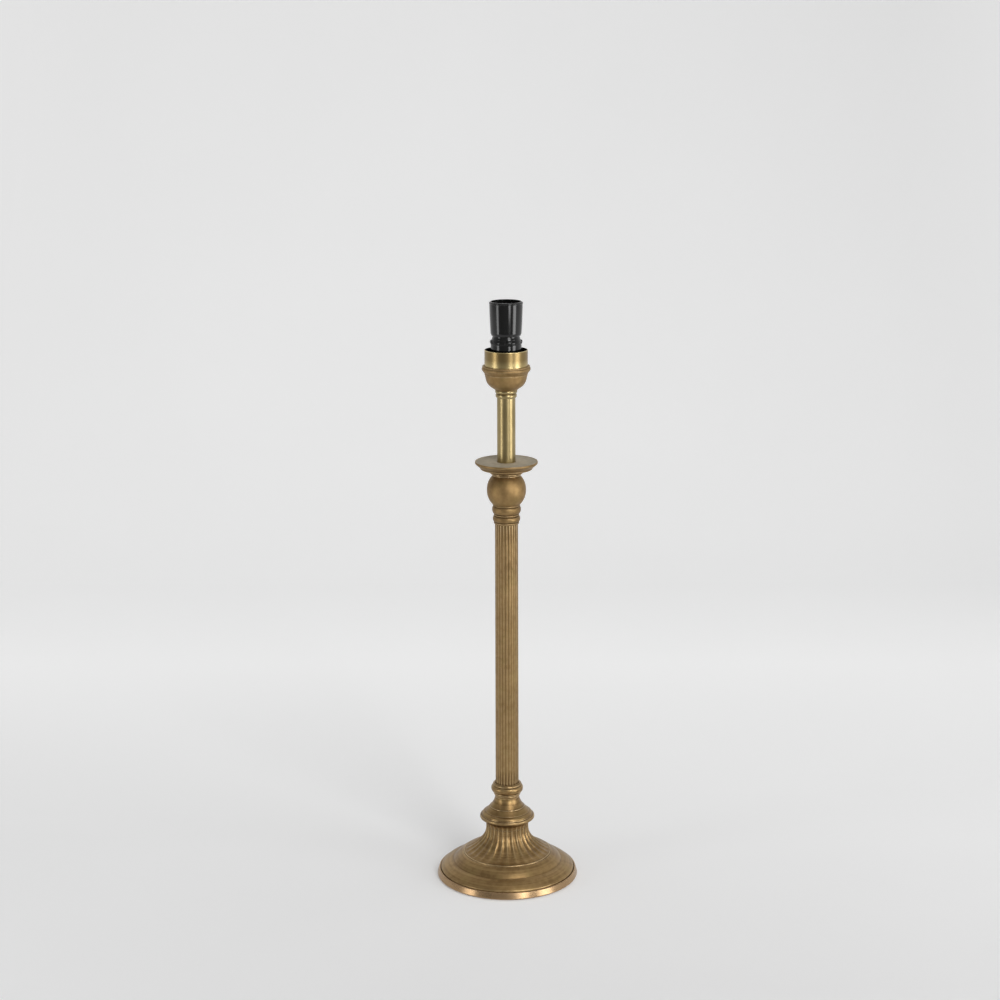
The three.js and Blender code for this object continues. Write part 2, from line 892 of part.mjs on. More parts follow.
function fixedFoot(y) {
  const half = leafWidth / 2;
  return cut(
    block(-half, half, y - contactFoot / 2, y + contactFoot / 2, coreTop, contactTop),
    round(rivetRadius + fitGap, coreTop - overrun, contactTop + overrun, 0, y),
  );
}

function contactRivet(y) {
  return join(
    round(rivetHeadRadius, contactTop, contactTop + rivetHead, 0, y),
    round(rivetRadius, coreTop - rivetDepth, contactTop + rivetHead / 2, 0, y),
  );
}

// A strip bent along a line of [y, z] points, from its root to its tip
function leaf(line) {
  const half = leafThickness / 2;
  const upper = [];
  const lower = [];
  line.forEach(([y, z], i) => {
    const [y0, z0] = line[Math.max(i - 1, 0)];
    const [y1, z1] = line[Math.min(i + 1, line.length - 1)];
    const length = Math.hypot(y1 - y0, z1 - z0);
    const acrossY = (half * (z0 - z1)) / length;
    const acrossZ = (half * (y1 - y0)) / length;
    upper.push(new THREE.Vector2(y + acrossY, z + acrossZ));
    lower.push(new THREE.Vector2(y - acrossY, z - acrossZ));
  });
  const shape = new THREE.Shape([...lower, ...upper.reverse()]);
  const geometry = new THREE.ExtrudeGeometry(shape, { depth: leafWidth, bevelEnabled: false });
  geometry.translate(0, 0, -leafWidth / 2);
  geometry.rotateX(quarterTurn);
  geometry.rotateZ(quarterTurn);
  return outward(cleaned(geometry));
}

function centreContact() {
  const y = fitGap - centreRootPlace;
  const lineShares = [[0, 0], [0.28, 0.55], [0.56, 0.95], [0.78, 1], [1, 0.8]];
  return leaf(shaped(lineShares, y, y + centreReach, contactTop, contactTop + centreRise));
}

function sideContact() {
  const y = sideRootPlace + leafThickness / 2;
  const z = contactTop + fitGap;
  const lineShares = [[0, 0], [0.55, 0.5], [1, 0.8], [0.75, 1]];
  return leaf(shaped(lineShares, y, y - sideLean, z, z + sideRise));
}

// Assembly

// One named piece for each place in a list
function repeated(name, places, make, look) {
  return places.map((place, i) => [`${name}_${i + 1}`, () => make(place), look]);
}

const pieces = [
  ['felt_pad', feltPad, darkFelt],
  ['bottom_plate', bottomPlate, zincSteel],
  ...repeated('plate_screw', screwPlaces(), plateScrew, zincSteel),
  ['base_foot', baseFoot, castBrass],
  ['cable_bush', cableBush, blackRubber],
  ['base_weight', baseWeight, greyIron],
  ['lower_washer', lowerWasher, zincSteel],
  ['earth_tag', earthTag, plainBrass],
  ['lower_nut', lowerNut, plainBrass],
  ['centre_rod', centreRod, zincSteel],
  ['base_knop', baseKnop, castBrass],
  ['column_foot_ring', columnFootRing, castBrass],
  ['fluted_column', flutedColumn, castBrass],
  ...repeated('column_bush', [columnBottom, columnEnd - centringLength], columnBush, plainBrass),
  ['capital_beads', capitalBeads, castBrass],
  ['stem_ball', stemBall, castBrass],
  ['neck_ring', neckRing, castBrass],
  ['drip_pan', dripPan, castBrass],
  ['candle_tube', candleTube, drawnBrass],
  ['candle_collar', candleCollar, drawnBrass],
  ['socket_cup', socketCup, castBrass],
  ['upper_washer', upperWasher, zincSteel],
  ['upper_nut', upperNut, plainBrass],
  ['gallery_sleeve', gallerySleeve, drawnBrass],
  ['holder_cap', holderCap, blackPlastic],
  ['cap_lock_screw', capLockScrew, zincSteel],
  ['holder_core', holderCore, blackPlastic],
  ...repeated('terminal_block', [-blockPlace, blockPlace], terminalBlock, plainBrass),
  ...repeated('terminal_screw', [-blockPlace, blockPlace], terminalScrew, zincSteel),
  ['holder_shell', holderShell, blackPlastic],
  ...repeated('contact_foot', footPlaces, fixedFoot, plainBrass),
  ...repeated('contact_rivet', footPlaces, contactRivet, plainBrass),
  ['centre_contact', centreContact, plainBrass],
  ['side_contact', sideContact, plainBrass],
];

const lamp = new THREE.Group();
for (const [name, make, look] of pieces) {
  const mesh = new THREE.Mesh(make(), new THREE.MeshStandardMaterial(look));
  mesh.name = name;
  lamp.add(mesh);
}

export default lamp;
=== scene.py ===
# Studio scene of an aged brass table lamp base. Fine turned and fluted surfaces replace the plain solids
# of the frame, in brass, black plastic, rubber and felt. Profiles are in millimetres, from the table up.

import math
from functools import lru_cache

import bmesh
import bpy
import numpy as np
from mathutils import Matrix, Vector


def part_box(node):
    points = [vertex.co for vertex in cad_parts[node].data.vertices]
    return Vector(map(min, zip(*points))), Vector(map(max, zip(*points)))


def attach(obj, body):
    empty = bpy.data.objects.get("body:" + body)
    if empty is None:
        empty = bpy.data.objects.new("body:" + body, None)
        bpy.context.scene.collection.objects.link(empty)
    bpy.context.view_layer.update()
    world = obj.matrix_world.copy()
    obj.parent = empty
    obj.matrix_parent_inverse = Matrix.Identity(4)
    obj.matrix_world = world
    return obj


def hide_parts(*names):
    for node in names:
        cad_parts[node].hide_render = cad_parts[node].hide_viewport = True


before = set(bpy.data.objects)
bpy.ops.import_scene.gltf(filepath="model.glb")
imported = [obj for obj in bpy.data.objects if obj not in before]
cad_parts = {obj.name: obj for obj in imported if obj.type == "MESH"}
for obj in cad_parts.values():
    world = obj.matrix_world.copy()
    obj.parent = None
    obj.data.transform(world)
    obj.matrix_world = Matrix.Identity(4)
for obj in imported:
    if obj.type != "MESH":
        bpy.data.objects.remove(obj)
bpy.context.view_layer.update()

MM = 0.001
BODY = "lamp_body"
FULL_TURN = 2 * math.pi

# Fineness of the meshes
COLUMNS = 128
CORNER_STEPS = 3
SHARP_ANGLE = math.radians(38)
SOFT_CORNER = math.radians(20)
SHORTEST_EDGE = 0.02
MERGE_DISTANCE = 0.002

# Sizes in millimetres that the frame's boxes don't give; a solid disc keeps the axis radius open
AXIS = 0.001
ROD_HOLE = 5.3
FIT_GAP = 0.3
OVERRUN = 5
CAST_CORNER = 0.15

# Foot
FOOT_CORNER = 0.5
RIM_EDGE = 0.9
RIM_TAPER = 1.9
RIM_HEIGHT = 7.6
RIM_SHOULDER = 1.1
GROOVE_STEP = 2.2
GROOVE_RISE = 1.4
OUTER_BAND_WIDTH = 12
OUTER_BAND_RISE = 8
INNER_BAND_WIDTH = 13.7
INNER_BAND_RISE = 9.7
BAND_BOW = 0.7
GROOVE_HALF = 1.5
GROOVE_DEPTH = 0.65
RIM_GROOVE_DEPTH = 0.9
LINE_WIDTH = 1.3
LINE_BOW = 0.35
NECK_RADIUS = 22.9
NECK_LAP = 1.2
FLARE_POWER = 2.35
FOOT_WALL = 3.2
FOOT_WEB = 5.5
RIM_WALL = 7.2
PLATE_SEAT = 3.6
PLATE_TOP = 2.8
NOTCH_WIDTH = 10
NOTCH_TOP = 6.5
NOTCH_INSIDE = 56
NOTCH_CORNER = 0.8

# Flutes of the foot, which end shallow and stretched, and of the column
FOOT_FLUTES = 28
FOOT_FLUTE_DEPTH = 1.1
FOOT_FLUTE_SHARE = 0.43
FLUTE_END_SHARE = 0.3
FLUTE_DEEPENING = 1.5
FLUTE_END_STRETCH = 1.2
COLUMN_FLUTES = 24
COLUMN_FLUTE_DEPTH = 0.38
COLUMN_FLUTE_SHARE = 0.37
COLUMN_TAPER = 0.3
COLUMN_WALL = 2.4

# Sleeve, cap and shell of the lampholder, with the lugs of the cap measured down from the shell
SLEEVE_WALL = 0.9
PLASTIC_CORNER = 0.2
CAP_CORNER = 0.25
LUGS = 4
LUG_TURN_SHARE = 0.025
LUG_GAP_SHARE = 0.1
LUG_SIDE_SHARE = 0.04
LUG_BOTTOM = 7.95
LUG_TOP = 3.7
LUG_FLOOR_RADIUS = 15.3
THREAD_WALL = 1.2
THREAD_PITCH = 3.6
THREAD_DEPTH = 0.45
THREAD_CREST = 0.1

# Small pieces
PLATE_SCREWS = ("plate_screw_1", "plate_screw_2", "plate_screw_3")
LEAF_THICKNESS = 0.45
RECESS_REACH = 1.7
RECESS_HALF = 0.35
RECESS_DEPTH = 0.6
SCREW_HOLE = 3.3

# Studio in metres, and a camera fitted to the photograph
TABLE_DROP = 0.0001
TABLE_REACH = 1.2
STUDIO_HALF = 3.4
BACKDROP_BEND = 1.4
BACKDROP_HEIGHT = 2.6
PHOTO_SIZE = 1000
FOCAL_PIXELS = 2130
SENSOR = 36
CAMERA_DISTANCE = 2.1845
CAMERA_HEIGHT = 0.9366
CAMERA_SIDE = -0.0068
CAMERA_PITCH = math.radians(13.3)
CAMERA_ROLL = math.radians(-0.18)


# Profiles

@lru_cache
def span(node):
    """Lowest height, highest height and outer radius of a turned node of the frame."""
    low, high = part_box(node)
    return low[2] / MM, high[2] / MM, high[0] / MM


def at(node, shares):
    """Points from shares of a node's radius and of its height."""
    bottom, top, radius = span(node)
    return [(radius * out, bottom + (top - bottom) * up) for out, up in shares]


def beside(corner, size, shares):
    """Points from shares of a size, out from a corner and up from it."""
    return [(corner[0] + size[0] * out, corner[1] + size[1] * up) for out, up in shares]


def raised(start, end, places):
    """Points at shares of the way from start to end, each lifted outwards from the straight line."""
    (r0, z0), (r1, z1) = start, end
    chord = math.dist(start, end)
    out_r, out_z = (z1 - z0) / chord, (r0 - r1) / chord
    return [(r0 + (r1 - r0) * share + out_r * lift, z0 + (z1 - z0) * share + out_z * lift)
            for share, lift in places]


def bow(start, end, rise, steps=8):
    """Round arc from start to end whose middle stands outside the straight line by the rise."""
    chord = math.dist(start, end)
    radius = (chord ** 2 / 4 + rise ** 2) / (2 * rise)
    places = []
    for i in range(steps + 1):
        share = i / steps
        along = (share - 0.5) * chord
        places.append((share, math.sqrt(max(radius ** 2 - along ** 2, 0)) - radius + rise))
    return raised(start, end, places)


def round_bow(start, end, rise, steps=10):
    """Half-ellipse bead from start to end, as deep as the rise."""
    angles = [math.pi * i / steps for i in range(steps + 1)]
    return raised(start, end, [(0.5 - 0.5 * math.cos(angle), rise * math.sin(angle)) for angle in angles])


def smooth(points, steps=5):
    """Soft curve through the points."""
    padded = [points[0], *points, points[-1]]
    curve = []
    for i in range(1, len(padded) - 2):
        before, start, end, after = (Vector(padded[i + k]) for k in (-1, 0, 1, 2))
        for k in range(steps):
            t = k / steps
            square = (2 * before - 5 * start + 4 * end - after) * t ** 2
            cube = (3 * start - before - 3 * end + after) * t ** 3
            point = 0.5 * (2 * start + (end - before) * t + square + cube)
            curve.append((point.x, point.y))
    return [*curve, points[-1]]


def soften(profile, radius):
    """Rounds every corner of a closed profile that is sharper than the soft limit."""
    rounded = []
    reach_share = 0.4
    for i, corner in enumerate(profile):
        here = Vector(corner)
        back = Vector(profile[i - 1]) - here
        ahead = Vector(profile[(i + 1) % len(profile)]) - here
        if not back.length or not ahead.length:
            continue
        if math.pi - back.angle(ahead) < SOFT_CORNER:
            rounded.append(corner)
            continue
        reach = min(radius, reach_share * back.length, reach_share * ahead.length)
        start = here + back.normalized() * reach
        end = here + ahead.normalized() * reach
        for k in range(CORNER_STEPS + 1):
            t = k / CORNER_STEPS
            point = start * (1 - t) ** 2 + here * 2 * t * (1 - t) + end * t ** 2
            rounded.append((point.x, point.y))
    return rounded


# Meshes

def new_object(name, data):
    made = bpy.data.objects.new(name, data)
    bpy.context.collection.objects.link(made)
    return made


def finished(node, mesh, material, body=BODY):
    """Makes the fine object that takes a node's place, shades it and hands it to the frame."""
    mesh.shade_smooth()
    mesh.set_sharp_from_angle(angle=SHARP_ANGLE)
    mark_wear(mesh)
    piece = new_object(node + "_fine", mesh)
    piece.data.materials.append(material)
    even = piece.modifiers.new("even_shading", "WEIGHTED_NORMAL")
    even.keep_sharp = True
    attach(piece, body)
    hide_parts(node)
    return piece


def mark_wear(mesh):
    """Stores each vertex's bend per millimetre, held to 1, on a ridge (wear) or in a hollow (grime)."""
    count = len(mesh.vertices)
    spots = np.empty(count * 3)
    normals = np.empty(count * 3)
    pairs = np.empty(len(mesh.edges) * 2, dtype=np.int64)
    mesh.vertices.foreach_get("co", spots)
    mesh.vertices.foreach_get("normal", normals)
    mesh.edges.foreach_get("vertices", pairs)
    spots = spots.reshape(-1, 3)
    normals = normals.reshape(-1, 3)
    first, second = pairs.reshape(-1, 2).T
    step = spots[second] - spots[first]
    length = np.maximum((step ** 2).sum(axis=1), (SHORTEST_EDGE * MM) ** 2)
    sums = np.bincount(first, -2 * (step * normals[first]).sum(axis=1) / length, count)
    sums += np.bincount(second, 2 * (step * normals[second]).sum(axis=1) / length, count)
    degree = np.maximum(np.bincount(first, minlength=count) + np.bincount(second, minlength=count), 1)
    bend = sums / degree
    near = np.bincount(first, bend[second], count) + np.bincount(second, bend[first], count)
    bend = (bend + near / degree) / 2
    for name, sign in (("wear", 1), ("grime", -1)):
        layer = mesh.attributes.new(name, "FLOAT", "POINT")
        layer.data.foreach_set("value", np.clip(sign * bend * MM, 0, 1))


def circle_angles(count):
    return [FULL_TURN * i / count for i in range(count)]


def turned_mesh(name, profile, angles=None, press=None):
    """Mesh turned about the lamp's axis. Press gives how deep to sink a point along its normal."""
    angles = angles or circle_angles(COLUMNS)
    rows = len(profile)
    normals = []
    for i in range(rows):
        (r0, z0), (r1, z1) = profile[i - 1], profile[(i + 1) % rows]
        length = math.hypot(r1 - r0, z1 - z0) or 1
        normals.append(((z1 - z0) / length, (r0 - r1) / length))
    verts = []
    for angle in angles:
        for (r, z), (out_r, out_z) in zip(profile, normals):
            depth = press(angle, r, z) if press else 0
            radius = r - depth * out_r
            height = z - depth * out_z
            verts.append((radius * math.sin(angle) * MM, -radius * math.cos(angle) * MM, height * MM))
    faces = []
    for i in range(len(angles)):
        here, there = i * rows, (i + 1) % len(angles) * rows
        for k in range(rows):
            up = (k + 1) % rows
            faces.append((here + k, there + k, there + up, here + up))
    return clean_mesh(name, verts, faces)


def clean_mesh(name, verts, faces):
    """Mesh whose doubled vertices are merged and whose faces point outwards."""
    mesh = bpy.data.meshes.new(name)
    mesh.from_pydata(verts, [], faces)
    work = bmesh.new()
    work.from_mesh(mesh)
    bmesh.ops.remove_doubles(work, verts=work.verts, dist=MERGE_DISTANCE * MM)
    bmesh.ops.recalc_face_normals(work, faces=work.faces)
    work.to_mesh(mesh)
    work.free()
    return mesh


def turned(node, profile, material, slot="cast_brass", corner=CAST_CORNER, **shape):
    """Fine turned piece in place of a node of the frame."""
    mesh = turned_mesh(node + "_fine", soften(profile, corner), **shape)
    return finished(node, mesh, material)


def combine(mesh, tool_mesh, operation="DIFFERENCE"):
    """Cuts the second closed mesh out of the first, or joins the two."""
    body = new_object("body", mesh)
    tool = new_object("tool", tool_mesh)
    cutter = body.modifiers.new("combine", "BOOLEAN")
    cutter.object = tool
    cutter.operation = operation
    cutter.solver = "EXACT"
    graph = bpy.context.evaluated_depsgraph_get()
    result = bpy.data.meshes.new_from_object(body.evaluated_get(graph))
    for item in (body, tool):
        bpy.data.objects.remove(item)
    return result


def box_mesh(low, high, bevel=0):
    """Block between two corners in millimetres, with bevelled edges."""
    work = bmesh.new()
    bmesh.ops.create_cube(work, size=1)
    for vert in work.verts:
        vert.co = Vector([(low[k] + high[k]) / 2 + vert.co[k] * (high[k] - low[k]) for k in range(3)]) * MM
    if bevel:
        bmesh.ops.bevel(work, geom=work.edges[:], offset=bevel * MM, segments=3, affect="EDGES", profile=0.5)
    mesh = bpy.data.meshes.new("block")
    work.to_mesh(mesh)
    work.free()
    return mesh


# Materials

# Colour sockets of the mix node, by their place
MIX_SHARE = 0
MIX_FIRST = 6
MIX_SECOND = 7
MIX_RESULT = 2


def shader(name):
    material = bpy.data.materials.new(name)
    material.use_nodes = True
    tree = material.node_tree
    return material, tree, tree.nodes["Principled BSDF"]


def feed(tree, node, inputs):
    """Sets each input of a node to a value, or links it from a socket."""
    for key, value in inputs.items():
        if isinstance(value, bpy.types.NodeSocket):
            tree.links.new(value, node.inputs[key])
        else:
            node.inputs[key].default_value = value


def add(tree, kind, inputs=None, **settings):
    """Adds a node with its settings and inputs."""
    made = tree.nodes.new("ShaderNode" + kind)
    for key, value in settings.items():
        setattr(made, key, value)
    feed(tree, made, inputs or {})
    return made


def colour(red, green, blue):
    return (red, green, blue, 1)


def attribute(tree, name):
    return add(tree, "Attribute", attribute_name=name).outputs["Fac"]


def place(tree):
    return add(tree, "TexCoord").outputs["Object"]


def turned_place(tree):
    """Coordinates that run with the radius and the height, for marks left by a lathe."""
    x, y, z = add(tree, "SeparateXYZ", {"Vector": place(tree)}).outputs
    total = plus(tree, times(tree, x, x), times(tree, y, y))
    radius = calc(tree, "POWER", total, 0.5)
    drift = times(tree, x, 0.03)
    return add(tree, "CombineXYZ", {"X": radius, "Y": drift, "Z": z}).outputs[0]


def noise(tree, vector, scale, detail=4, roughness=0.5):
    """Noise between 0 and 1, with the scale in cells per metre."""
    inputs = {"Vector": vector, "Scale": scale, "Detail": detail, "Roughness": roughness}
    return add(tree, "TexNoise", inputs).outputs["Fac"]


def spread(tree, value, low, high, to_low=0, to_high=1):
    """Maps a value from one range to another and holds it there."""
    inputs = {"Value": value, "From Min": low, "From Max": high, "To Min": to_low, "To Max": to_high}
    return add(tree, "MapRange", inputs).outputs["Result"]


def blend(tree, share, first, second):
    """Colour between two colours."""
    made = add(tree, "Mix", data_type="RGBA")
    feed(tree, made, {MIX_SHARE: share, MIX_FIRST: first, MIX_SECOND: second})
    return made.outputs[MIX_RESULT]


def calc(tree, operation, first, second, clamp=False):
    made = add(tree, "Math", {0: first, 1: second}, operation=operation, use_clamp=clamp)
    return made.outputs[0]


def plus(tree, first, second):
    return calc(tree, "ADD", first, second)


def times(tree, first, second):
    return calc(tree, "MULTIPLY", first, second)


def bump(tree, bsdf, height, strength, depth):
    """Roughens the surface; the depth is in millimetres."""
    inputs = {"Height": height, "Strength": strength, "Distance": depth * MM}
    feed(tree, bsdf, {"Normal": add(tree, "Bump", inputs).outputs["Normal"]})


def cast_brass(name, roughness, rubbing, soil=0.88, age=0, turning=0):
    """Cast brass with a brown patina. Rubbing is how far its ridges brighten, soil how far its hollows
    darken, age how far it all darkens, and turning how clearly the marks of the lathe run round it."""
    material, tree, bsdf = shader(name)
    spot = place(tree)
    cloud = noise(tree, spot, 38, 5, 0.55)
    mottle = noise(tree, spot, 200, 3, 0.5)
    rings = noise(tree, turned_place(tree), 420, 3, 0.6)
    tone = plus(tree, times(tree, cloud, 0.6), times(tree, mottle, 0.4))
    tone = plus(tree, tone, times(tree, calc(tree, "SUBTRACT", rings, 0.5), turning))
    tone = spread(tree, tone, 0.34, 0.66)
    base = blend(tree, tone, colour(0.215, 0.132, 0.053), colour(0.368, 0.24, 0.103))
    olive = spread(tree, noise(tree, spot, 75, 3), 0.5, 0.7, 0, 0.35)
    base = blend(tree, olive, base, colour(0.255, 0.19, 0.068))
    grime = times(tree, attribute(tree, "grime"), spread(tree, mottle, 0.3, 0.6, 0.85, 1.15))
    grime = spread(tree, grime, 0.02, 0.5, age, soil)
    base = blend(tree, grime, base, colour(0.085, 0.045, 0.016))
    wear = times(tree, attribute(tree, "wear"), spread(tree, mottle, 0.35, 0.6, 0.6, 1.2))
    wear = spread(tree, wear, 0.08, 0.7, 0, rubbing)
    base = blend(tree, wear, base, colour(0.53, 0.39, 0.215))
    polish = attribute(tree, "polish")
    polished = blend(tree, cloud, colour(0.355, 0.23, 0.122), colour(0.475, 0.315, 0.168))
    base = blend(tree, polish, base, polished)
    # Dust and painted reflection: the marked top of the pan is painted pale grey, rougher and less metallic,
    # standing in for dust and for the pale backdrop it reflects.
    dust = times(tree, attribute(tree, "dust_and_reflection"), spread(tree, mottle, 0.3, 0.65, 0.58, 0.76))
    base = blend(tree, dust, base, colour(0.56, 0.51, 0.4))
    rough = spread(tree, noise(tree, spot, 55, 2), 0.3, 0.7, *roughness)
    for layer, change in ((grime, 0.15), (dust, 0.3), (wear, -0.08), (polish, -0.07)):
        rough = plus(tree, rough, times(tree, layer, change))
    metal = spread(tree, dust, 0, 1, 0.92, 0.1)
    feed(tree, bsdf, {"Base Color": base, "Roughness": rough, "Metallic": metal})
    bump(tree, bsdf, noise(tree, spot, 1100, 3), strength=0.12, depth=0.05)
    return material


def drawn_brass(name, dull, bright):
    """Drawn tube and spun sheet, with fine lathe marks and a light patina, and painted shade on its inside.
    """
    material, tree, bsdf = shader(name)
    marks = noise(tree, turned_place(tree), 1400, 4, 0.6)
    cloud = noise(tree, place(tree), 55, 4)
    base = blend(tree, spread(tree, cloud, 0.35, 0.65), dull, bright)
    grime = spread(tree, attribute(tree, "grime"), 0.03, 0.6, 0, 0.8)
    base = blend(tree, grime, base, colour(0.17, 0.105, 0.035))
    # Painted shade: where the inside is marked, the brass is painted near black.
    base = blend(tree, attribute(tree, "inside"), base, colour(0.03, 0.018, 0.008))
    rough = spread(tree, marks, 0.3, 0.7, 0.29, 0.36)
    feed(tree, bsdf, {"Base Color": base, "Roughness": rough, "Metallic": 1})
    bump(tree, bsdf, marks, strength=0.05, depth=0.02)
    return material


def black_plastic():
    """Moulded phenolic, semi-gloss, with a slight orange peel and faint dust."""
    material, tree, bsdf = shader("holder_plastic_black")
    spot = place(tree)
    peel = noise(tree, spot, 420, 2)
    dust = spread(tree, noise(tree, spot, 160, 6, 0.7), 0.55, 0.8, 0, 0.3)
    base = blend(tree, dust, colour(0.0045, 0.0045, 0.0042), colour(0.02, 0.019, 0.018))
    feed(tree, bsdf, {"Base Color": base, "Roughness": spread(tree, peel, 0.3, 0.7, 0.12, 0.16)})
    bump(tree, bsdf, peel, strength=0.03, depth=0.02)
    return material


def plain_metal(name, roughness, tone_low, tone_high):
    """Turned, stamped or cast metal of the pieces inside."""
    material, tree, bsdf = shader(name)
    marks = noise(tree, turned_place(tree), 1100, 4, 0.6)
    stain = spread(tree, noise(tree, place(tree), 130, 5, 0.6), 0.35, 0.7)
    base = blend(tree, stain, tone_low, tone_high)
    rough = spread(tree, marks, 0.3, 0.7, *roughness)
    feed(tree, bsdf, {"Base Color": base, "Roughness": rough, "Metallic": 1})
    bump(tree, bsdf, marks, strength=0.15, depth=0.06)
    return material


def rubber():
    """Black rubber with a dull, grainy skin."""
    material, tree, bsdf = shader("bush_rubber_black")
    grain = noise(tree, place(tree), 900, 5, 0.65)
    base = blend(tree, grain, colour(0.014, 0.014, 0.014), colour(0.032, 0.031, 0.03))
    feed(tree, bsdf, {"Base Color": base, "Roughness": spread(tree, grain, 0.3, 0.7, 0.55, 0.75)})
    bump(tree, bsdf, grain, strength=0.3, depth=0.08)
    return material


def felt():
    """Pressed wool: matted fibres with a soft sheen."""
    material, tree, bsdf = shader("felt_brown")
    spot = place(tree)
    fibre = noise(tree, spot, 700, 8, 0.8)
    cloud = noise(tree, spot, 90, 4)
    tone = plus(tree, times(tree, fibre, 0.7), times(tree, cloud, 0.3))
    tone = spread(tree, tone, 0.35, 0.65)
    base = blend(tree, tone, colour(0.016, 0.011, 0.008), colour(0.105, 0.08, 0.06))
    feed(tree, bsdf, {"Base Color": base, "Roughness": 0.95, "Sheen Weight": 0.2})
    bump(tree, bsdf, fibre, strength=0.8, depth=0.3)
    return material


# Foot

def rim_top_radius():
    return span("base_foot")[2] - RIM_TAPER


def flute_end():
    """Radius and height where the flutes run out."""
    radius = rim_top_radius() - GROOVE_STEP - OUTER_BAND_WIDTH - INNER_BAND_WIDTH
    return radius, RIM_HEIGHT + GROOVE_RISE + OUTER_BAND_RISE + INNER_BAND_RISE


def flare(share):
    """Point of the fluted flare at a share of its height."""
    end_radius, end_height = flute_end()
    top = span("base_foot")[1]
    radius = NECK_RADIUS + (end_radius - NECK_RADIUS) * (1 - share) ** FLARE_POWER
    return radius, end_height + (top - end_height) * share


def foot_profile():
    bottom, top, radius = span("base_foot")
    rim = rim_top_radius()
    groove = (rim - GROOVE_STEP, RIM_HEIGHT + GROOVE_RISE)
    step = (groove[0] - OUTER_BAND_WIDTH, groove[1] + OUTER_BAND_RISE)
    end = flute_end()
    slope = OUTER_BAND_RISE / OUTER_BAND_WIDTH
    cavity = radius - RIM_WALL
    seat = cavity + PLATE_SEAT
    roof = step[1] + (step[0] - cavity) * slope - FOOT_WALL * math.hypot(1, slope)
    flare_steps = 46
    flare_start_share = 0.03
    flare_shares = np.linspace(flare_start_share, 1, flare_steps + 1).tolist()
    inner_shares = (0, 0.2, 0.4, 0.7)
    inner = [(r - FOOT_WALL, z - FOOT_WALL - FOOT_WEB / 2) for r, z in map(flare, inner_shares)]
    line = end[0] + LINE_WIDTH / 2
    return [
        (seat, bottom),
        (radius - RIM_EDGE, bottom),
        (radius, bottom + RIM_EDGE),
        (rim, RIM_HEIGHT),
        (rim - RIM_SHOULDER, RIM_HEIGHT + FIT_GAP),
        (groove[0] + FIT_GAP, RIM_HEIGHT - RIM_GROOVE_DEPTH),
        *bow(groove, (step[0] + GROOVE_HALF, step[1] - GROOVE_HALF * slope), BAND_BOW, 12),
        (step[0], step[1] - GROOVE_DEPTH),
        *bow((step[0] - GROOVE_HALF, step[1]), (end[0] + LINE_WIDTH, end[1] - LINE_WIDTH / 2), BAND_BOW, 12),
        (line, end[1] - LINE_WIDTH / 2 - FIT_GAP),
        *bow((line, end[1] - LINE_BOW), (line - LINE_WIDTH, end[1] + LINE_BOW), LINE_BOW, 4),
        *map(flare, flare_shares),
        (NECK_RADIUS, top + NECK_LAP),
        (NECK_RADIUS - 2 * NECK_LAP, top + NECK_LAP),
        (ROD_HOLE, top),
        (ROD_HOLE, top - FOOT_WEB),
        (NECK_RADIUS - 2 * FOOT_WALL, top - FOOT_WEB),
        *reversed(inner),
        (cavity, roof),
        (cavity, PLATE_TOP),
        (seat, PLATE_TOP),
    ]


def flute_angles(flutes):
    """Angles around the axis, closer together at the ridges between the flutes."""
    shares = (-0.5, -0.46, -0.42, -0.37, -0.28, -0.15, 0, 0.15, 0.28, 0.37, 0.42, 0.46)
    return [FULL_TURN * (flute + 0.5 + share) / flutes for flute in range(flutes) for share in shares]


def channel(angle, flutes, half_share):
    """Depth, from 0 at a ridge to 1 in the middle of a flute, across its width."""
    across = (angle / FULL_TURN * flutes) % 1 - 0.5
    if abs(across) >= half_share or half_share <= 0:
        return 0
    return 1 - (across / half_share) ** 2


def foot_press(angle, radius, height):
    """Depth of the foot's flutes."""
    end_radius, end_height = flute_end()
    if radius < NECK_RADIUS - FIT_GAP or height <= end_height + LINE_BOW:
        return 0
    width = FULL_TURN * radius / FOOT_FLUTES
    along = (end_radius - LINE_WIDTH - radius) * FLUTE_END_STRETCH
    end_share = min(max(along / (width / 2), 0), 1)
    narrowing = math.sqrt(1 - (1 - end_share) ** 2)
    inwards = (end_radius - radius) / (end_radius - NECK_RADIUS)
    depth = FOOT_FLUTE_DEPTH * min(FLUTE_END_SHARE + FLUTE_DEEPENING * inwards, 1)
    return depth * narrowing * channel(angle, FOOT_FLUTES, FOOT_FLUTE_SHARE * narrowing)


def base_foot(material):
    shape = soften(foot_profile(), FOOT_CORNER)
    mesh = turned_mesh("base_foot_fine", shape, angles=flute_angles(FOOT_FLUTES), press=foot_press)
    half = NOTCH_WIDTH / 2
    radius = span("base_foot")[2]
    notch = box_mesh((-half, NOTCH_INSIDE, -RIM_HEIGHT), (half, radius + FOOT_WALL, NOTCH_TOP), NOTCH_CORNER)
    piece = finished("base_foot", combine(mesh, notch), material)
    mark(piece, "polish", lambda r, z: z < RIM_HEIGHT + FIT_GAP and r > rim_top_radius() - RIM_SHOULDER)


def mark(piece, name, test):
    """Sets a vertex attribute to 1 where the test picks a radius and height."""
    layer = piece.data.attributes.new(name, "FLOAT", "POINT")
    for i, vert in enumerate(piece.data.vertices):
        radius = math.hypot(vert.co.x, vert.co.y) / MM
        layer.data[i].value = 1 if test(radius, vert.co.z / MM) else 0


# Stem

def knop_press(angle, radius, height):
    """The foot's flutes run on under the knop and fade out towards its edge."""
    bottom, top, _ = span("base_knop")
    fade_share = 0.23
    share = (height - bottom) / (fade_share * (top - bottom))
    if share >= 1 or radius < NECK_RADIUS - FIT_GAP:
        return 0
    return FOOT_FLUTE_DEPTH * math.sqrt(1 - max(share, 0)) * channel(angle, FOOT_FLUTES, FOOT_FLUTE_SHARE)


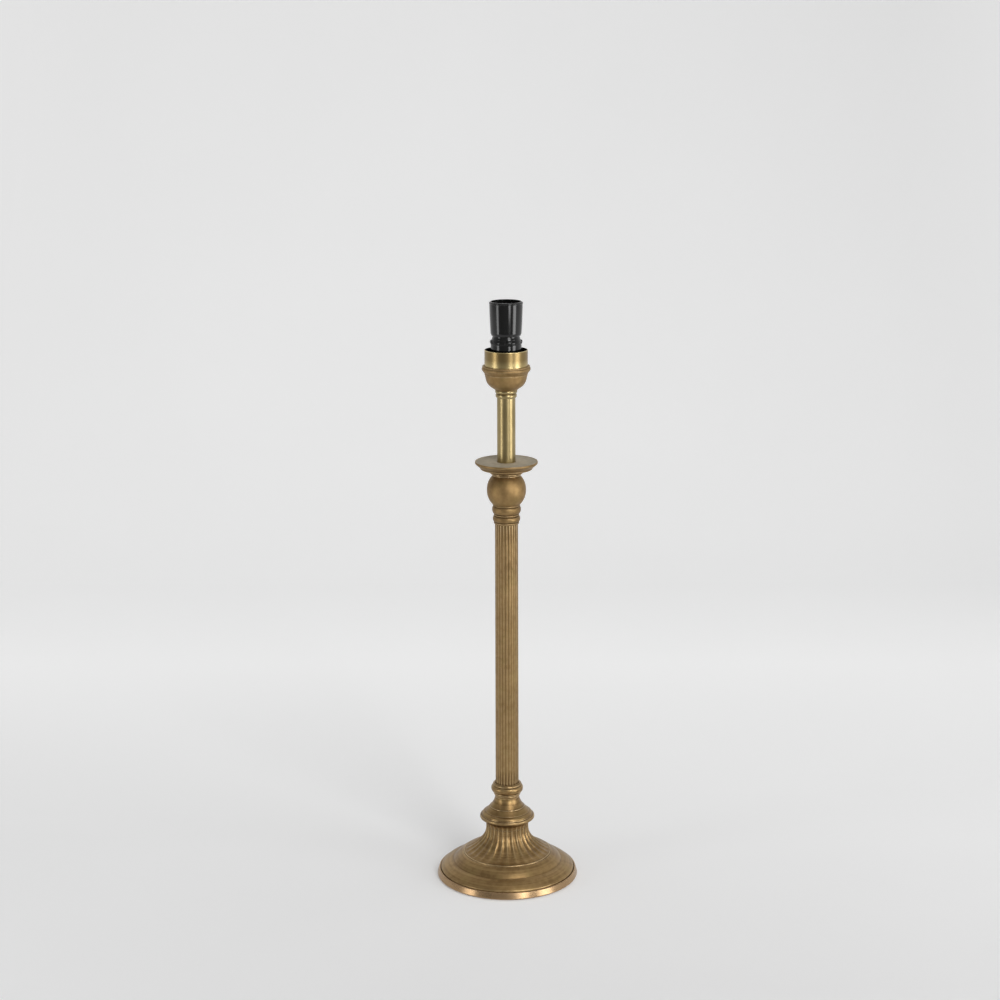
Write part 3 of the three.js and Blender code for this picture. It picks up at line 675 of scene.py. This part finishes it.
def knop_profile():
    node = "base_knop"
    bottom, top, radius = span(node)
    under = at(node, shares=[(0.766, 0), (0.774, 0.09), (0.8, 0.165), (0.86, 0.225), (0.94, 0.262)])
    edge_low, edge_high, groove_low, groove_high = at(
        node, shares=[(0.955, 0.27), (0.952, 0.375), (0.938, 0.383), (0.92, 0.405)])
    band_low, band_high = at(node, shares=[(0.918, 0.405), (0.812, 0.5)])
    crest = at(node, shares=[(0.8, 0.513), (0.736, 0.567), (0.68, 0.617), (0.64, 0.652)])
    line_low, line_high = at(node, shares=[(0.635, 0.657), (0.61, 0.685)])
    bell = at(node, shares=[
        (0.604, 0.69), (0.572, 0.727), (0.515, 0.806), (0.482, 0.866), (0.458, 0.925), (0.445, 0.975),
        (0.442, 1)])
    edge_share = 0.04
    hollow_share = 0.3
    return [
        (ROD_HOLE * 3, bottom),
        *smooth(under),
        *round_bow(edge_low, edge_high, radius * edge_share),
        (groove_low[0] - FIT_GAP, groove_low[1]),
        groove_high,
        *bow(band_low, band_high, 2 * FIT_GAP),
        (crest[0][0] - FIT_GAP / 2, (band_high[1] + crest[0][1]) / 2),
        *smooth(crest),
        *bow(line_low, line_high, FIT_GAP, 4),
        *smooth(bell),
        (ROD_HOLE, top),
        (ROD_HOLE, top - ROD_HOLE),
        (ROD_HOLE * 2, top - ROD_HOLE),
        (ROD_HOLE * 3, bottom + (top - bottom) * hollow_share),
    ]


def ring_profile():
    node = "column_foot_ring"
    bottom, top, _ = span(node)
    socket = span("fluted_column")[2] + FIT_GAP
    column_bottom = span("fluted_column")[0]
    neck = at(node, shares=[(0.763, 0), (0.77, 0.05), (0.782, 0.1)])
    low = at(node, shares=[(0.786, 0.115), (0.795, 0.205)])
    second = at(node, shares=[(0.815, 0.225), (0.85, 0.325)])
    main = at(node, shares=[(0.865, 0.355), (0.9, 0.79)])
    upper = at(node, shares=[(0.885, 0.82), (0.835, 0.945)])
    low_rise = 0.6
    thin_rise = 0.65
    main_rise = 2
    lip_start = 0.7
    lip_end = 1.1
    return [
        *neck,
        *round_bow(*low, low_rise, 6),
        (neck[-1][0], low[1][1] + FIT_GAP / 2),
        *round_bow(*second, thin_rise, 6),
        (second[1][0] - FIT_GAP, second[1][1] + FIT_GAP / 2),
        *round_bow(*main, main_rise, 14),
        (upper[0][0] - FIT_GAP, (main[1][1] + upper[0][1]) / 2),
        *round_bow(*upper, thin_rise, 6),
        (socket + lip_end, top - FIT_GAP),
        (socket + lip_start, top),
        (socket, top - 2 * FIT_GAP),
        (socket, column_bottom),
        (ROD_HOLE, column_bottom),
        (ROD_HOLE, bottom),
    ]


def column_profile():
    bottom, top, radius = span("fluted_column")
    rows = 24
    side = [(radius - COLUMN_TAPER * i / rows, bottom + (top - bottom) * i / rows) for i in range(rows + 1)]
    return [(radius - COLUMN_WALL, bottom), *side, (radius - COLUMN_WALL, top)]


def column_press(angle, radius, _height):
    """Depth of the column's flutes."""
    if radius < span("fluted_column")[2] - COLUMN_WALL / 2:
        return 0
    return COLUMN_FLUTE_DEPTH * channel(angle, COLUMN_FLUTES, COLUMN_FLUTE_SHARE)


def capital_profile():
    node = "capital_beads"
    bottom, top, _ = span(node)
    socket = span("fluted_column")[2] + FIT_GAP
    column_top = span("fluted_column")[1]
    foot = at(node, shares=[(0.855, 0.01), (0.855, 0.1)])
    low = at(node, shares=[(0.862, 0.13), (0.868, 0.4)])
    line = at(node, shares=[(0.857, 0.43), (0.86, 0.51)])
    high = at(node, shares=[(0.875, 0.54), (0.91, 0.9)])
    collar = at(node, shares=[(0.925, 0.925), (0.94, 0.99)])
    groove = foot[0][0] - FIT_GAP / 3
    foot_rise = 0.5
    low_rise = 1.35
    line_rise = 0.45
    high_rise = 1.65
    collar_rise = 0.35
    return [
        (socket, bottom),
        *round_bow(*foot, foot_rise, 6),
        (groove, (foot[1][1] + low[0][1]) / 2),
        *round_bow(*low, low_rise, 12),
        (groove, (low[1][1] + line[0][1]) / 2),
        *round_bow(*line, line_rise, 6),
        (groove, (line[1][1] + high[0][1]) / 2),
        *round_bow(*high, high_rise, 14),
        (collar[0][0] - FIT_GAP, (high[1][1] + collar[0][1]) / 2),
        *round_bow(*collar, collar_rise, 6),
        (ROD_HOLE, top),
        (ROD_HOLE, column_top),
        (socket, column_top),
    ]


def ball_profile():
    bottom, top, radius = span("stem_ball")
    seat = 14.5
    rise = math.sqrt(radius ** 2 - seat ** 2)
    angle = math.asin(rise / radius)
    steps = 22
    lower = [angle * i / steps for i in range(-steps, 1)]
    upper = [angle * i / steps for i in range(steps + 1)]
    return [
        (ROD_HOLE, bottom),
        *[(radius * math.cos(a), bottom + rise + radius * math.sin(a)) for a in lower],
        *[(radius * math.cos(a), top - rise + radius * math.sin(a)) for a in upper],
        (ROD_HOLE, top),
    ]


def neck_profile():
    node = "neck_ring"
    bottom, top, _ = span(node)
    low = at(node, shares=[(0.845, 0.03), (0.845, 0.45)])
    high = at(node, shares=[(0.925, 0.55), (0.935, 0.97)])
    low_rise = 0.85
    high_rise = 1.2
    return [
        *round_bow(*low, low_rise, 8),
        (low[1][0] - FIT_GAP, (low[1][1] + high[0][1]) / 2),
        *round_bow(*high, high_rise, 8),
        (ROD_HOLE, top),
        (ROD_HOLE, bottom),
    ]


def pan_profile():
    node = "drip_pan"
    bottom, top, radius = span(node)
    tube_bottom = span("candle_tube")[0]
    socket = span("candle_tube")[2] + FIT_GAP
    hub = at(node, shares=[(0.526, 0), (0.565, 0.02), (0.635, 0.1), (0.72, 0.185), (0.805, 0.262)])
    step = at(node, shares=[(0.812, 0.268), (0.832, 0.395)])
    under = at(node, shares=[(0.832, 0.415), (0.865, 0.475), (0.9, 0.56), (0.942, 0.66), (0.98, 0.755)])
    edge = at(node, shares=[(0.988, 0.79), (0.988, 0.99)])
    lip = 1.2
    step_rise = 0.4
    edge_rise = 0.38
    dish_share = 0.6
    dish_depth = 0.75
    return [
        *smooth(hub),
        *round_bow(*step, step_rise, 6),
        *smooth(under),
        *round_bow(*edge, edge_rise, 8),
        (radius - lip, top),
        (radius - lip - FIT_GAP, top - 2 * FIT_GAP),
        (radius * dish_share, top - dish_depth),
        (socket, top - 2 * FIT_GAP),
        (socket, tube_bottom),
        (ROD_HOLE, tube_bottom),
        (ROD_HOLE, bottom),
    ]


def tube_profile():
    bottom, top, radius = span("candle_tube")
    wall = 1
    return [(radius - wall, bottom), (radius, bottom), (radius, top), (radius - wall, top)]


def collar_profile():
    node = "candle_collar"
    bottom, top, _ = span(node)
    tube_radius = span("candle_tube")[2] + FIT_GAP
    tube_top = span("candle_tube")[1]
    low = at(node, shares=[(0.88, 0.03), (0.9, 0.5)])
    high = at(node, shares=[(0.905, 0.59), (0.955, 0.985)])
    bead_rise = 0.75
    return [
        (tube_radius, bottom),
        *round_bow(*low, bead_rise, 10),
        (low[1][0] - FIT_GAP, (low[1][1] + high[0][1]) / 2),
        *round_bow(*high, bead_rise, 10),
        (ROD_HOLE, top),
        (ROD_HOLE, tube_top),
        (tube_radius, tube_top),
    ]


# Cup, sleeve and lampholder

def cup_profile():
    node = "socket_cup"
    bottom, top, radius = span(node)
    sleeve = span("gallery_sleeve")[2] + FIT_GAP
    seat = span("gallery_sleeve")[0]
    floor = span("upper_washer")[0]
    bowl = at(node, shares=[
        (0.455, 0), (0.494, 0.028), (0.545, 0.067), (0.604, 0.106), (0.655, 0.145), (0.698, 0.185),
        (0.731, 0.224), (0.759, 0.264), (0.784, 0.303), (0.816, 0.382), (0.837, 0.461), (0.855, 0.54),
        (0.868, 0.6), (0.873, 0.63)])
    line = at(node, shares=[(0.872, 0.635), (0.878, 0.675)])
    flare_out = at(node, shares=[(0.882, 0.68), (0.92, 0.736), (0.957, 0.78), (0.984, 0.822)])
    lip = at(node, shares=[(0.986, 0.83), (0.976, 0.925)])
    crown = at(node, shares=[(0.966, 0.935), (0.964, 0.995)])
    inside = at(node, shares=[(0.8, 0.62), (0.74, 0.36), (0.62, 0.2)])
    line_rise = 0.28
    lip_rise = 0.42
    crown_rise = 0.25
    return [
        *smooth(bowl, 3),
        *round_bow(*line, line_rise, 5),
        *smooth(flare_out, 4),
        *round_bow(*lip, lip_rise, 8),
        (crown[0][0] - FIT_GAP, (lip[1][1] + crown[0][1]) / 2),
        *round_bow(*crown, crown_rise, 6),
        (sleeve, top),
        (sleeve, seat),
        (inside[0][0], seat),
        *smooth(inside, 4),
        (radius / 2, floor),
        (ROD_HOLE, floor),
        (ROD_HOLE, bottom),
    ]


def sleeve_profile():
    bottom, top, radius = span("gallery_sleeve")
    side_step = 0.15
    side = radius - side_step
    bead_height = 0.7
    bead_rise = 0.1
    bead_size = (0.35, bead_height)
    bead_low, bead_high = beside((radius, top), bead_size, shares=[(-0.343, -1), (-1, -0.214)])
    return [
        (radius - SLEEVE_WALL, bottom),
        (side, bottom),
        (side, top - bead_height),
        *bow(bead_low, bead_high, bead_rise, 4),
        (radius - SLEEVE_WALL, top),
    ]


def lug_press(angle, radius, height):
    """Sinks the cap's band between its lugs."""
    below_shell = span("holder_shell")[0] - height
    if not LUG_TOP <= below_shell <= LUG_BOTTOM:
        return 0
    across = abs(((angle / FULL_TURN - LUG_TURN_SHARE) * LUGS + 0.5) % 1 - 0.5)
    share = min(max((across - LUG_GAP_SHARE) / LUG_SIDE_SHARE, 0), 1)
    return share * max(radius - LUG_FLOOR_RADIUS, 0)


def cap_profile():
    node = "holder_cap"
    bottom, _, radius = span(node)
    seam = span("holder_shell")[0]
    core = span("holder_core")
    neck = core[2]
    neck_drop = 6
    neck_top = core[1] - neck_drop
    band_width = 0.8
    band_height = 9.6
    band_shares = [(-0.125, -1), (0.0625, -0.854), (0.5625, -0.823), (0.9375, -0.719), (1, -0.5625),
                   (0.875, -0.521), (-0.75, -0.4375)]
    root_width = 0.75
    root_height = 3.6
    root_shares = [(1, -1), (0.733, -0.667), (0.333, -0.444), (0, -0.333)]
    side = radius - band_width
    spigot_wall = 3
    spigot = ROD_HOLE + spigot_wall
    spigot_height = 7
    slope = 3.5
    floor = span("centre_rod")[1] - band_width
    return [
        (ROD_HOLE, bottom),
        (spigot, bottom),
        (spigot, bottom + spigot_height),
        (side - slope, bottom + spigot_height),
        (side, bottom + spigot_height + slope),
        *beside((side, seam), (band_width, band_height), band_shares),
        *beside((neck, seam), (root_width, root_height), root_shares),
        (neck, neck_top),
        (neck - slope, neck_top),
        (neck - slope, floor),
        (ROD_HOLE, floor),
    ]


def thread_radius():
    return span("holder_core")[2] + FIT_GAP - THREAD_WALL


def shell_profile():
    bottom, top, radius = span("holder_shell")
    bore = span("holder_core")[2] + FIT_GAP
    core_top = span("holder_core")[1]
    thread = thread_radius()
    mouth = 15.3
    mouth_depth = 4.2
    thread_top = top - mouth_depth - (mouth - thread)
    rows = 48
    threaded = [(thread, thread_top + (core_top - thread_top) * i / rows) for i in range(rows + 1)]
    side_rise = 0.12
    bead_rise = 0.4
    crown_rise = 0.1
    side_step = 0.45
    side = radius - side_step
    skirt_size = (1.75, 2.4)
    skirt = beside((bore, bottom), skirt_size, shares=[(0.4, 0), (0.743, 0.458), (1, 1)])
    foot_size = (1.15, 4.4)
    foot, side_foot = beside((side, bottom), foot_size, shares=[(-1, 0.818), (-0.957, 1)])
    lip_size = (0.5, 3.4)
    side_top, bead_foot, bead_low, bead_high, shoulder, crown = beside((side, top), lip_size, shares=[
        (0, -1), (0, -0.735), (0.04, -0.676), (-0.2, -0.265), (-0.7, -0.147), (-1, -0.088)])
    edge_size = (0.35, 0.45)
    crown_end, edge = beside((mouth, top), edge_size, shares=[(1, -0.222), (0, -1)])
    return [
        (bore, bottom),
        *skirt,
        foot,
        *bow(side_foot, side_top, side_rise, 6),
        bead_foot,
        *round_bow(bead_low, bead_high, bead_rise, 6),
        shoulder,
        *round_bow(crown, crown_end, crown_rise, 4),
        edge,
        (mouth, top - mouth_depth),
        *threaded,
        (bore, core_top),
    ]


def thread_press(angle, radius, height):
    """Moulded screw thread in the shell's bore."""
    core_top = span("holder_core")[1]
    if abs(radius - thread_radius()) > THREAD_CREST / 2 or height < core_top + THREAD_WALL:
        return 0
    turn = (height / THREAD_PITCH - angle / FULL_TURN) % 1
    return THREAD_DEPTH * math.sin(math.pi * turn) ** 2 - THREAD_CREST


# Contacts, screws, felt and the cable bush

def leaf_mesh(line, width):
    """Bent strip along a line of [y, z] points, with rounded corners at its tip."""
    verts, faces = [], []
    steps = len(line)
    tip_steps = 4
    tip_share = 0.75
    least_share = 0.1
    for i, (y, z) in enumerate(line):
        (y0, z0), (y1, z1) = line[max(i - 1, 0)], line[min(i + 1, steps - 1)]
        lift = LEAF_THICKNESS / 2 / math.hypot(y1 - y0, z1 - z0)
        off_y, off_z = (z0 - z1) * lift, (y1 - y0) * lift
        tip = max(0, 1 - (steps - 1 - i) / tip_steps)
        half = width / 2 * math.sqrt(max(1 - tip ** 2 * tip_share, least_share))
        for side, face in ((-half, 1), (half, 1), (half, -1), (-half, -1)):
            verts.append((side * MM, (y + off_y * face) * MM, (z + off_z * face) * MM))
    for i in range(steps - 1):
        here, there = i * 4, (i + 1) * 4
        for k in range(4):
            up = (k + 1) % 4
            faces.append((here + k, here + up, there + up, there + k))
    faces.append((3, 2, 1, 0))
    last = (steps - 1) * 4
    faces.append((last, last + 1, last + 2, last + 3))
    return clean_mesh("leaf", verts, faces)


def contact_leaf(node, body, shares, material):
    """Smooth leaf inside the box of its node, through points at shares of the box along y and z."""
    low, high = (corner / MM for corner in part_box(node))
    size = high - low
    line = smooth(beside(low.yz, size.yz, shares), 6)
    finished(node, leaf_mesh(line, size.x), material, body)


def move(mesh, low, high, axes):
    """Moves a mesh along the axes from the lamp's axis to the middle of a box."""
    middle = [(low[k] + high[k]) / 2 if k in axes else 0 for k in range(3)]
    for vert in mesh.vertices:
        vert.co += Vector(middle)


def domed(node, material):
    """Rivet with a domed head, over the node's own place."""
    low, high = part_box(node)
    radius = (high[0] - low[0]) / 2 / MM
    bottom, top = low[2] / MM, high[2] / MM
    shank = 0.8
    head = 0.6
    seat = top - head
    angles = np.linspace(0, math.pi / 2, 7)[:-1]
    dome = [(radius * math.cos(angle), seat + head * math.sin(angle)) for angle in angles]
    profile = [(AXIS, bottom), (shank, bottom), (shank, seat), (radius, seat), *dome, (AXIS, top)]
    mesh = turned_mesh(node + "_fine", profile, angles=circle_angles(32))
    move(mesh, low, high, axes=(1,))
    finished(node, mesh, material)


def plate_screw(node, material):
    """Pan head screw with a cross recess, seen from below."""
    low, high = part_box(node)
    radius = (high[0] - low[0]) / 2 / MM
    bottom, top = low[2] / MM, high[2] / MM
    head = 1
    dome = 0.75
    shank = 1.5
    seat = bottom + head
    angles = np.linspace(math.pi / 2, 0, 8)[1:]
    arc = [(radius * math.cos(angle), bottom + dome - dome * math.sin(angle)) for angle in angles]
    profile = [(AXIS, bottom), *arc, (radius, seat), (shank, seat), (shank, top), (AXIS, top)]
    mesh = turned_mesh(node + "_fine", profile, angles=circle_angles(48))
    for x, y in ((RECESS_REACH, RECESS_HALF), (RECESS_HALF, RECESS_REACH)):
        mesh = combine(mesh, box_mesh((-x, -y, bottom - head), (x, y, bottom + RECESS_DEPTH)))
    move(mesh, low, high, axes=(0, 1))
    finished(node, mesh, material)


def felt_pad(material):
    """Felt disc with a notch for the cable and a hole round each screw."""
    bottom, top, radius = span("felt_pad")
    edge_round = 0.4
    notch_round = 0.5
    profile = soften([(AXIS, bottom), (radius, bottom), (radius, top), (AXIS, top)], edge_round)
    mesh = turned_mesh("felt_pad_fine", profile)
    half = NOTCH_WIDTH / 2 + FIT_GAP
    notch = box_mesh((-half, NOTCH_INSIDE, -OVERRUN), (half, radius + OVERRUN, OVERRUN), notch_round)
    mesh = combine(mesh, notch)
    for node in PLATE_SCREWS:
        outline = [(AXIS, -OVERRUN), (SCREW_HOLE, -OVERRUN), (SCREW_HOLE, OVERRUN), (AXIS, OVERRUN)]
        hole = turned_mesh("hole", outline, angles=circle_angles(40))
        move(hole, *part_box(node), axes=(0, 1))
        mesh = combine(mesh, hole)
    finished("felt_pad", mesh, material)


def cable_bush(material):
    """Rubber arch in the notch of the rim, with rounded edges and a flange inside."""
    low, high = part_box("cable_bush")
    half = NOTCH_WIDTH / 2 - FIT_GAP
    wall = 1
    sleeve_round = 0.4
    way_round = 0.5
    flange_round = 0.25
    (left, inside, bottom), (right, outside, top) = low / MM, high / MM
    arch_top = NOTCH_TOP - FIT_GAP
    sleeve = box_mesh((-half, inside, bottom), (half, outside, arch_top), sleeve_round)
    way = box_mesh((wall - half, inside - OVERRUN, bottom - OVERRUN),
                   (half - wall, outside + OVERRUN, arch_top - wall), way_round)
    flange = box_mesh((left, inside, PLATE_TOP + FIT_GAP), (right, inside + wall, top), flange_round)
    mesh = combine(combine(sleeve, flange, "UNION"), way)
    finished("cable_bush", mesh, material)


# Studio

def camera():
    data = bpy.data.cameras.new("camera")
    data.sensor_width = SENSOR
    data.lens = FOCAL_PIXELS / PHOTO_SIZE * SENSOR
    eye = new_object("camera", data)
    eye.location = (CAMERA_SIDE, -CAMERA_DISTANCE, CAMERA_HEIGHT)
    aim = Matrix.Rotation(math.pi / 2 - CAMERA_PITCH, 3, "X") @ Matrix.Rotation(CAMERA_ROLL, 3, "Z")
    eye.rotation_euler = aim.to_euler()
    bpy.context.scene.camera = eye


def softbox(name, azimuth, distance, width, height, centre, aim, strength):
    """Soft light that faces the lamp at the height aim. Azimuth 0 is towards the camera, 90 to its right."""
    data = bpy.data.lights.new(name, "AREA")
    data.shape = "RECTANGLE"
    data.size = width
    data.size_y = height
    data.energy = strength * width * height * math.pi
    lamp = new_object(name, data)
    turn = math.radians(azimuth)
    lamp.location = (distance * math.sin(turn), -distance * math.cos(turn), centre)
    direction = Vector((0, 0, aim)) - lamp.location
    lamp.rotation_euler = direction.to_track_quat("-Z", "Y").to_euler()
    lamp.visible_camera = False


def studio_world():
    """Surroundings, dimmer in front of the lamp and to its left; the camera itself sees them pale."""
    world = bpy.data.worlds.new("studio")
    bpy.context.scene.world = world
    world.use_nodes = True
    tree = world.node_tree
    direction = add(tree, "TexCoord").outputs["Generated"]
    x, y, z = add(tree, "SeparateXYZ", {"Vector": direction}).outputs
    back = spread(tree, y, -0.6, 0.7, 0.26, 0.8)
    above = spread(tree, z, 0.2, 0.9, 0, 0.5)
    level = calc(tree, "MAXIMUM", back, above)
    level = times(tree, level, spread(tree, x, -0.9, -0.1, 0.7, 1))
    seen = add(tree, "LightPath").outputs["Is Camera Ray"]
    pale = blend(tree, seen, level, colour(0.79, 0.79, 0.79))
    feed(tree, tree.nodes["Background"], {"Color": pale, "Strength": 1})


def paper():
    """Pale studio paper with a glow that evens out the light near the lamp and takes over far from it. Its
    back lets light and sight through, so that the lamp shows from below too."""
    material, tree, bsdf = shader("studio_paper")
    spot = place(tree)
    grain = noise(tree, spot, 3, 3)
    x, y, z = add(tree, "SeparateXYZ", {"Vector": spot}).outputs
    even_reach = 0.85
    dark_reach = 1.2
    glow_start = -0.35
    glow_end = 0.75
    lean_start = -0.3
    lean_end = 0.1
    reach = calc(tree, "MAXIMUM", calc(tree, "ABSOLUTE", x, 0), times(tree, y, -1.5))
    outer = spread(tree, reach, even_reach, dark_reach)
    sheet = blend(tree, grain, colour(0.76, 0.76, 0.76), colour(0.79, 0.79, 0.79))
    sheet = blend(tree, outer, sheet, colour(0.02, 0.02, 0.02))
    feed(tree, bsdf, {"Base Color": sheet, "Roughness": 0.9, "Specular IOR Level": 0})
    far = spread(tree, plus(tree, y, z), glow_start, glow_end, 0.06, 0.375)
    lean = spread(tree, y, lean_start, lean_end, 0.13, 0.03)
    glow = calc(tree, "SUBTRACT", far, times(tree, x, lean))
    glow = plus(tree, times(tree, glow, calc(tree, "SUBTRACT", 1, outer)), times(tree, outer, 0.77))
    ray = add(tree, "LightPath").outputs
    seen = plus(tree, ray["Is Camera Ray"], ray["Is Glossy Ray"])
    seen = calc(tree, "ADD", seen, ray["Is Transmission Ray"], clamp=True)
    glow = times(tree, glow, seen)
    feed(tree, bsdf, {"Emission Strength": glow, "Emission Color": colour(1, 1, 1)})
    behind = add(tree, "NewGeometry").outputs["Backfacing"]
    clear = add(tree, "BsdfTransparent").outputs["BSDF"]
    mixed = add(tree, "MixShader", {0: behind, 1: bsdf.outputs["BSDF"], 2: clear})
    feed(tree, tree.nodes["Material Output"], {"Surface": mixed.outputs["Shader"]})
    return material


def stage_piece(name, verts, faces, material):
    mesh = bpy.data.meshes.new(name)
    mesh.from_pydata(verts, [], faces)
    mesh.shade_smooth()
    piece = new_object(name, mesh)
    piece.data.materials.append(material)


def sweep():
    """Table top just under the felt, and a backdrop that curves up behind it."""
    half, reach, bend = STUDIO_HALF, TABLE_REACH, BACKDROP_BEND
    level = -TABLE_DROP
    steps = 24
    material = paper()
    corners = [(-half, -reach, level), (half, -reach, level), (half, reach, level), (-half, reach, level)]
    stage_piece("studio_table", corners, [(0, 1, 2, 3)], material)
    outline = [(reach, level)]
    for i in range(1, steps + 1):
        angle = math.pi / 2 * i / steps
        outline.append((reach + bend * math.sin(angle), level + bend - bend * math.cos(angle)))
    outline.append((reach + bend, BACKDROP_HEIGHT))
    verts = [(side, y, z) for y, z in outline for side in (-half, half)]
    faces = [(2 * i, 2 * i + 1, 2 * i + 3, 2 * i + 2) for i in range(len(outline) - 1)]
    stage_piece("studio_backdrop", verts, faces, material)


def carry_over(steel, iron, brass, plastic):
    """Gives each frame node that stays its finish."""
    finishes = (
        (steel, ("bottom_plate", "lower_washer", "centre_rod", "upper_washer", "cap_lock_screw",
                 "terminal_screw_1", "terminal_screw_2")),
        (iron, ("base_weight",)),
        (brass, ("earth_tag", "lower_nut", "upper_nut", "column_bush_1", "column_bush_2",
                 "terminal_block_1", "terminal_block_2", "contact_foot_1", "contact_foot_2")),
        (plastic, ("holder_core",)),
    )
    for material, nodes in finishes:
        for node in nodes:
            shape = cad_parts[node]
            shape.data.materials.clear()
            shape.data.materials.append(material)


def build():
    matte = cast_brass("cast_brass_matte", roughness=(0.48, 0.6), rubbing=0.4, soil=0.6)
    rubbed = cast_brass("cast_brass_rubbed", roughness=(0.32, 0.4), rubbing=0.7, soil=0.72, turning=0.8)
    burnished = cast_brass("cast_brass_burnished", roughness=(0.32, 0.4), rubbing=0.7, soil=0.6)
    aged = cast_brass("cast_brass_aged", roughness=(0.42, 0.54), rubbing=0.35, age=0.22)
    satin = drawn_brass("drawn_brass_satin", colour(0.61, 0.485, 0.23), colour(0.71, 0.575, 0.29))
    lacquered = drawn_brass("drawn_brass_lacquered", colour(0.31, 0.24, 0.112), colour(0.39, 0.305, 0.15))
    plastic = black_plastic()
    brass = plain_metal("brass_plain", (0.28, 0.42), colour(0.42, 0.3, 0.11), colour(0.62, 0.47, 0.2))
    steel = plain_metal("steel_zinc", (0.3, 0.44), colour(0.34, 0.34, 0.35), colour(0.52, 0.52, 0.54))
    iron = plain_metal("iron_cast", (0.6, 0.74), colour(0.06, 0.058, 0.055), colour(0.12, 0.115, 0.11))
    base_foot(rubbed)
    turned("base_knop", knop_profile(), rubbed, angles=flute_angles(FOOT_FLUTES), press=knop_press)
    turned("column_foot_ring", ring_profile(), rubbed)
    turned("fluted_column", column_profile(), burnished,
           angles=flute_angles(COLUMN_FLUTES), press=column_press)
    turned("capital_beads", capital_profile(), aged)
    turned("stem_ball", ball_profile(), matte)
    turned("neck_ring", neck_profile(), burnished)
    pan = turned("drip_pan", pan_profile(), aged)
    # The pan's top is marked for dust and for a painted reflection of the pale backdrop.
    _, pan_top, pan_radius = span("drip_pan")
    pan_edge = 1
    mark(pan, "dust_and_reflection", lambda r, z: z > pan_top - pan_edge and r < pan_radius - pan_edge)
    turned("candle_tube", tube_profile(), lacquered, "drawn_brass")
    turned("candle_collar", collar_profile(), lacquered, "drawn_brass")
    turned("socket_cup", cup_profile(), matte)
    sleeve = turned("gallery_sleeve", sleeve_profile(), satin, "drawn_brass")
    # The sleeve's inside is marked to be painted in shade.
    sleeve_inside = span("gallery_sleeve")[2] - SLEEVE_WALL / 2
    mark(sleeve, "inside", lambda r, z: r < sleeve_inside)
    turned("holder_cap", cap_profile(), plastic, "holder_plastic", corner=CAP_CORNER, press=lug_press)
    turned("holder_shell", shell_profile(), plastic, "holder_plastic",
           corner=PLASTIC_CORNER, press=thread_press)
    centre_shares = [(0.01, 0.06), (0.28, 0.5), (0.56, 0.88), (0.78, 0.93), (0.985, 0.75)]
    side_shares = [(0.86, 0.01), (0.45, 0.5), (0.14, 0.8), (0.3, 0.99)]
    contact_leaf("centre_contact", "centre_spring", centre_shares, brass)
    contact_leaf("side_contact", "side_spring", side_shares, brass)
    for node in ("contact_rivet_1", "contact_rivet_2"):
        domed(node, brass)
    for node in PLATE_SCREWS:
        plate_screw(node, steel)
    felt_pad(felt())
    cable_bush(rubber())
    carry_over(steel, iron, brass, plastic)


def studio():
    scene = bpy.context.scene
    scene.view_settings.view_transform = "Standard"
    studio_world()
    sweep()
    softbox("light_left", azimuth=-62, distance=1.7, width=0.45, height=1.7,
            centre=0.05, aim=0.05, strength=3.7)
    softbox("light_right", azimuth=62, distance=1.7, width=0.65, height=1.7,
            centre=0.05, aim=0.05, strength=4.8)
    softbox("light_window", azimuth=25, distance=2.4, width=0.55, height=1.22,
            centre=0.7, aim=0.7, strength=5.6)
    softbox("light_above", azimuth=28, distance=2, width=0.8, height=1.9,
            centre=1.75, aim=0.4, strength=4.2)
    camera()


build()
studio()
bpy.context.view_layer.update()
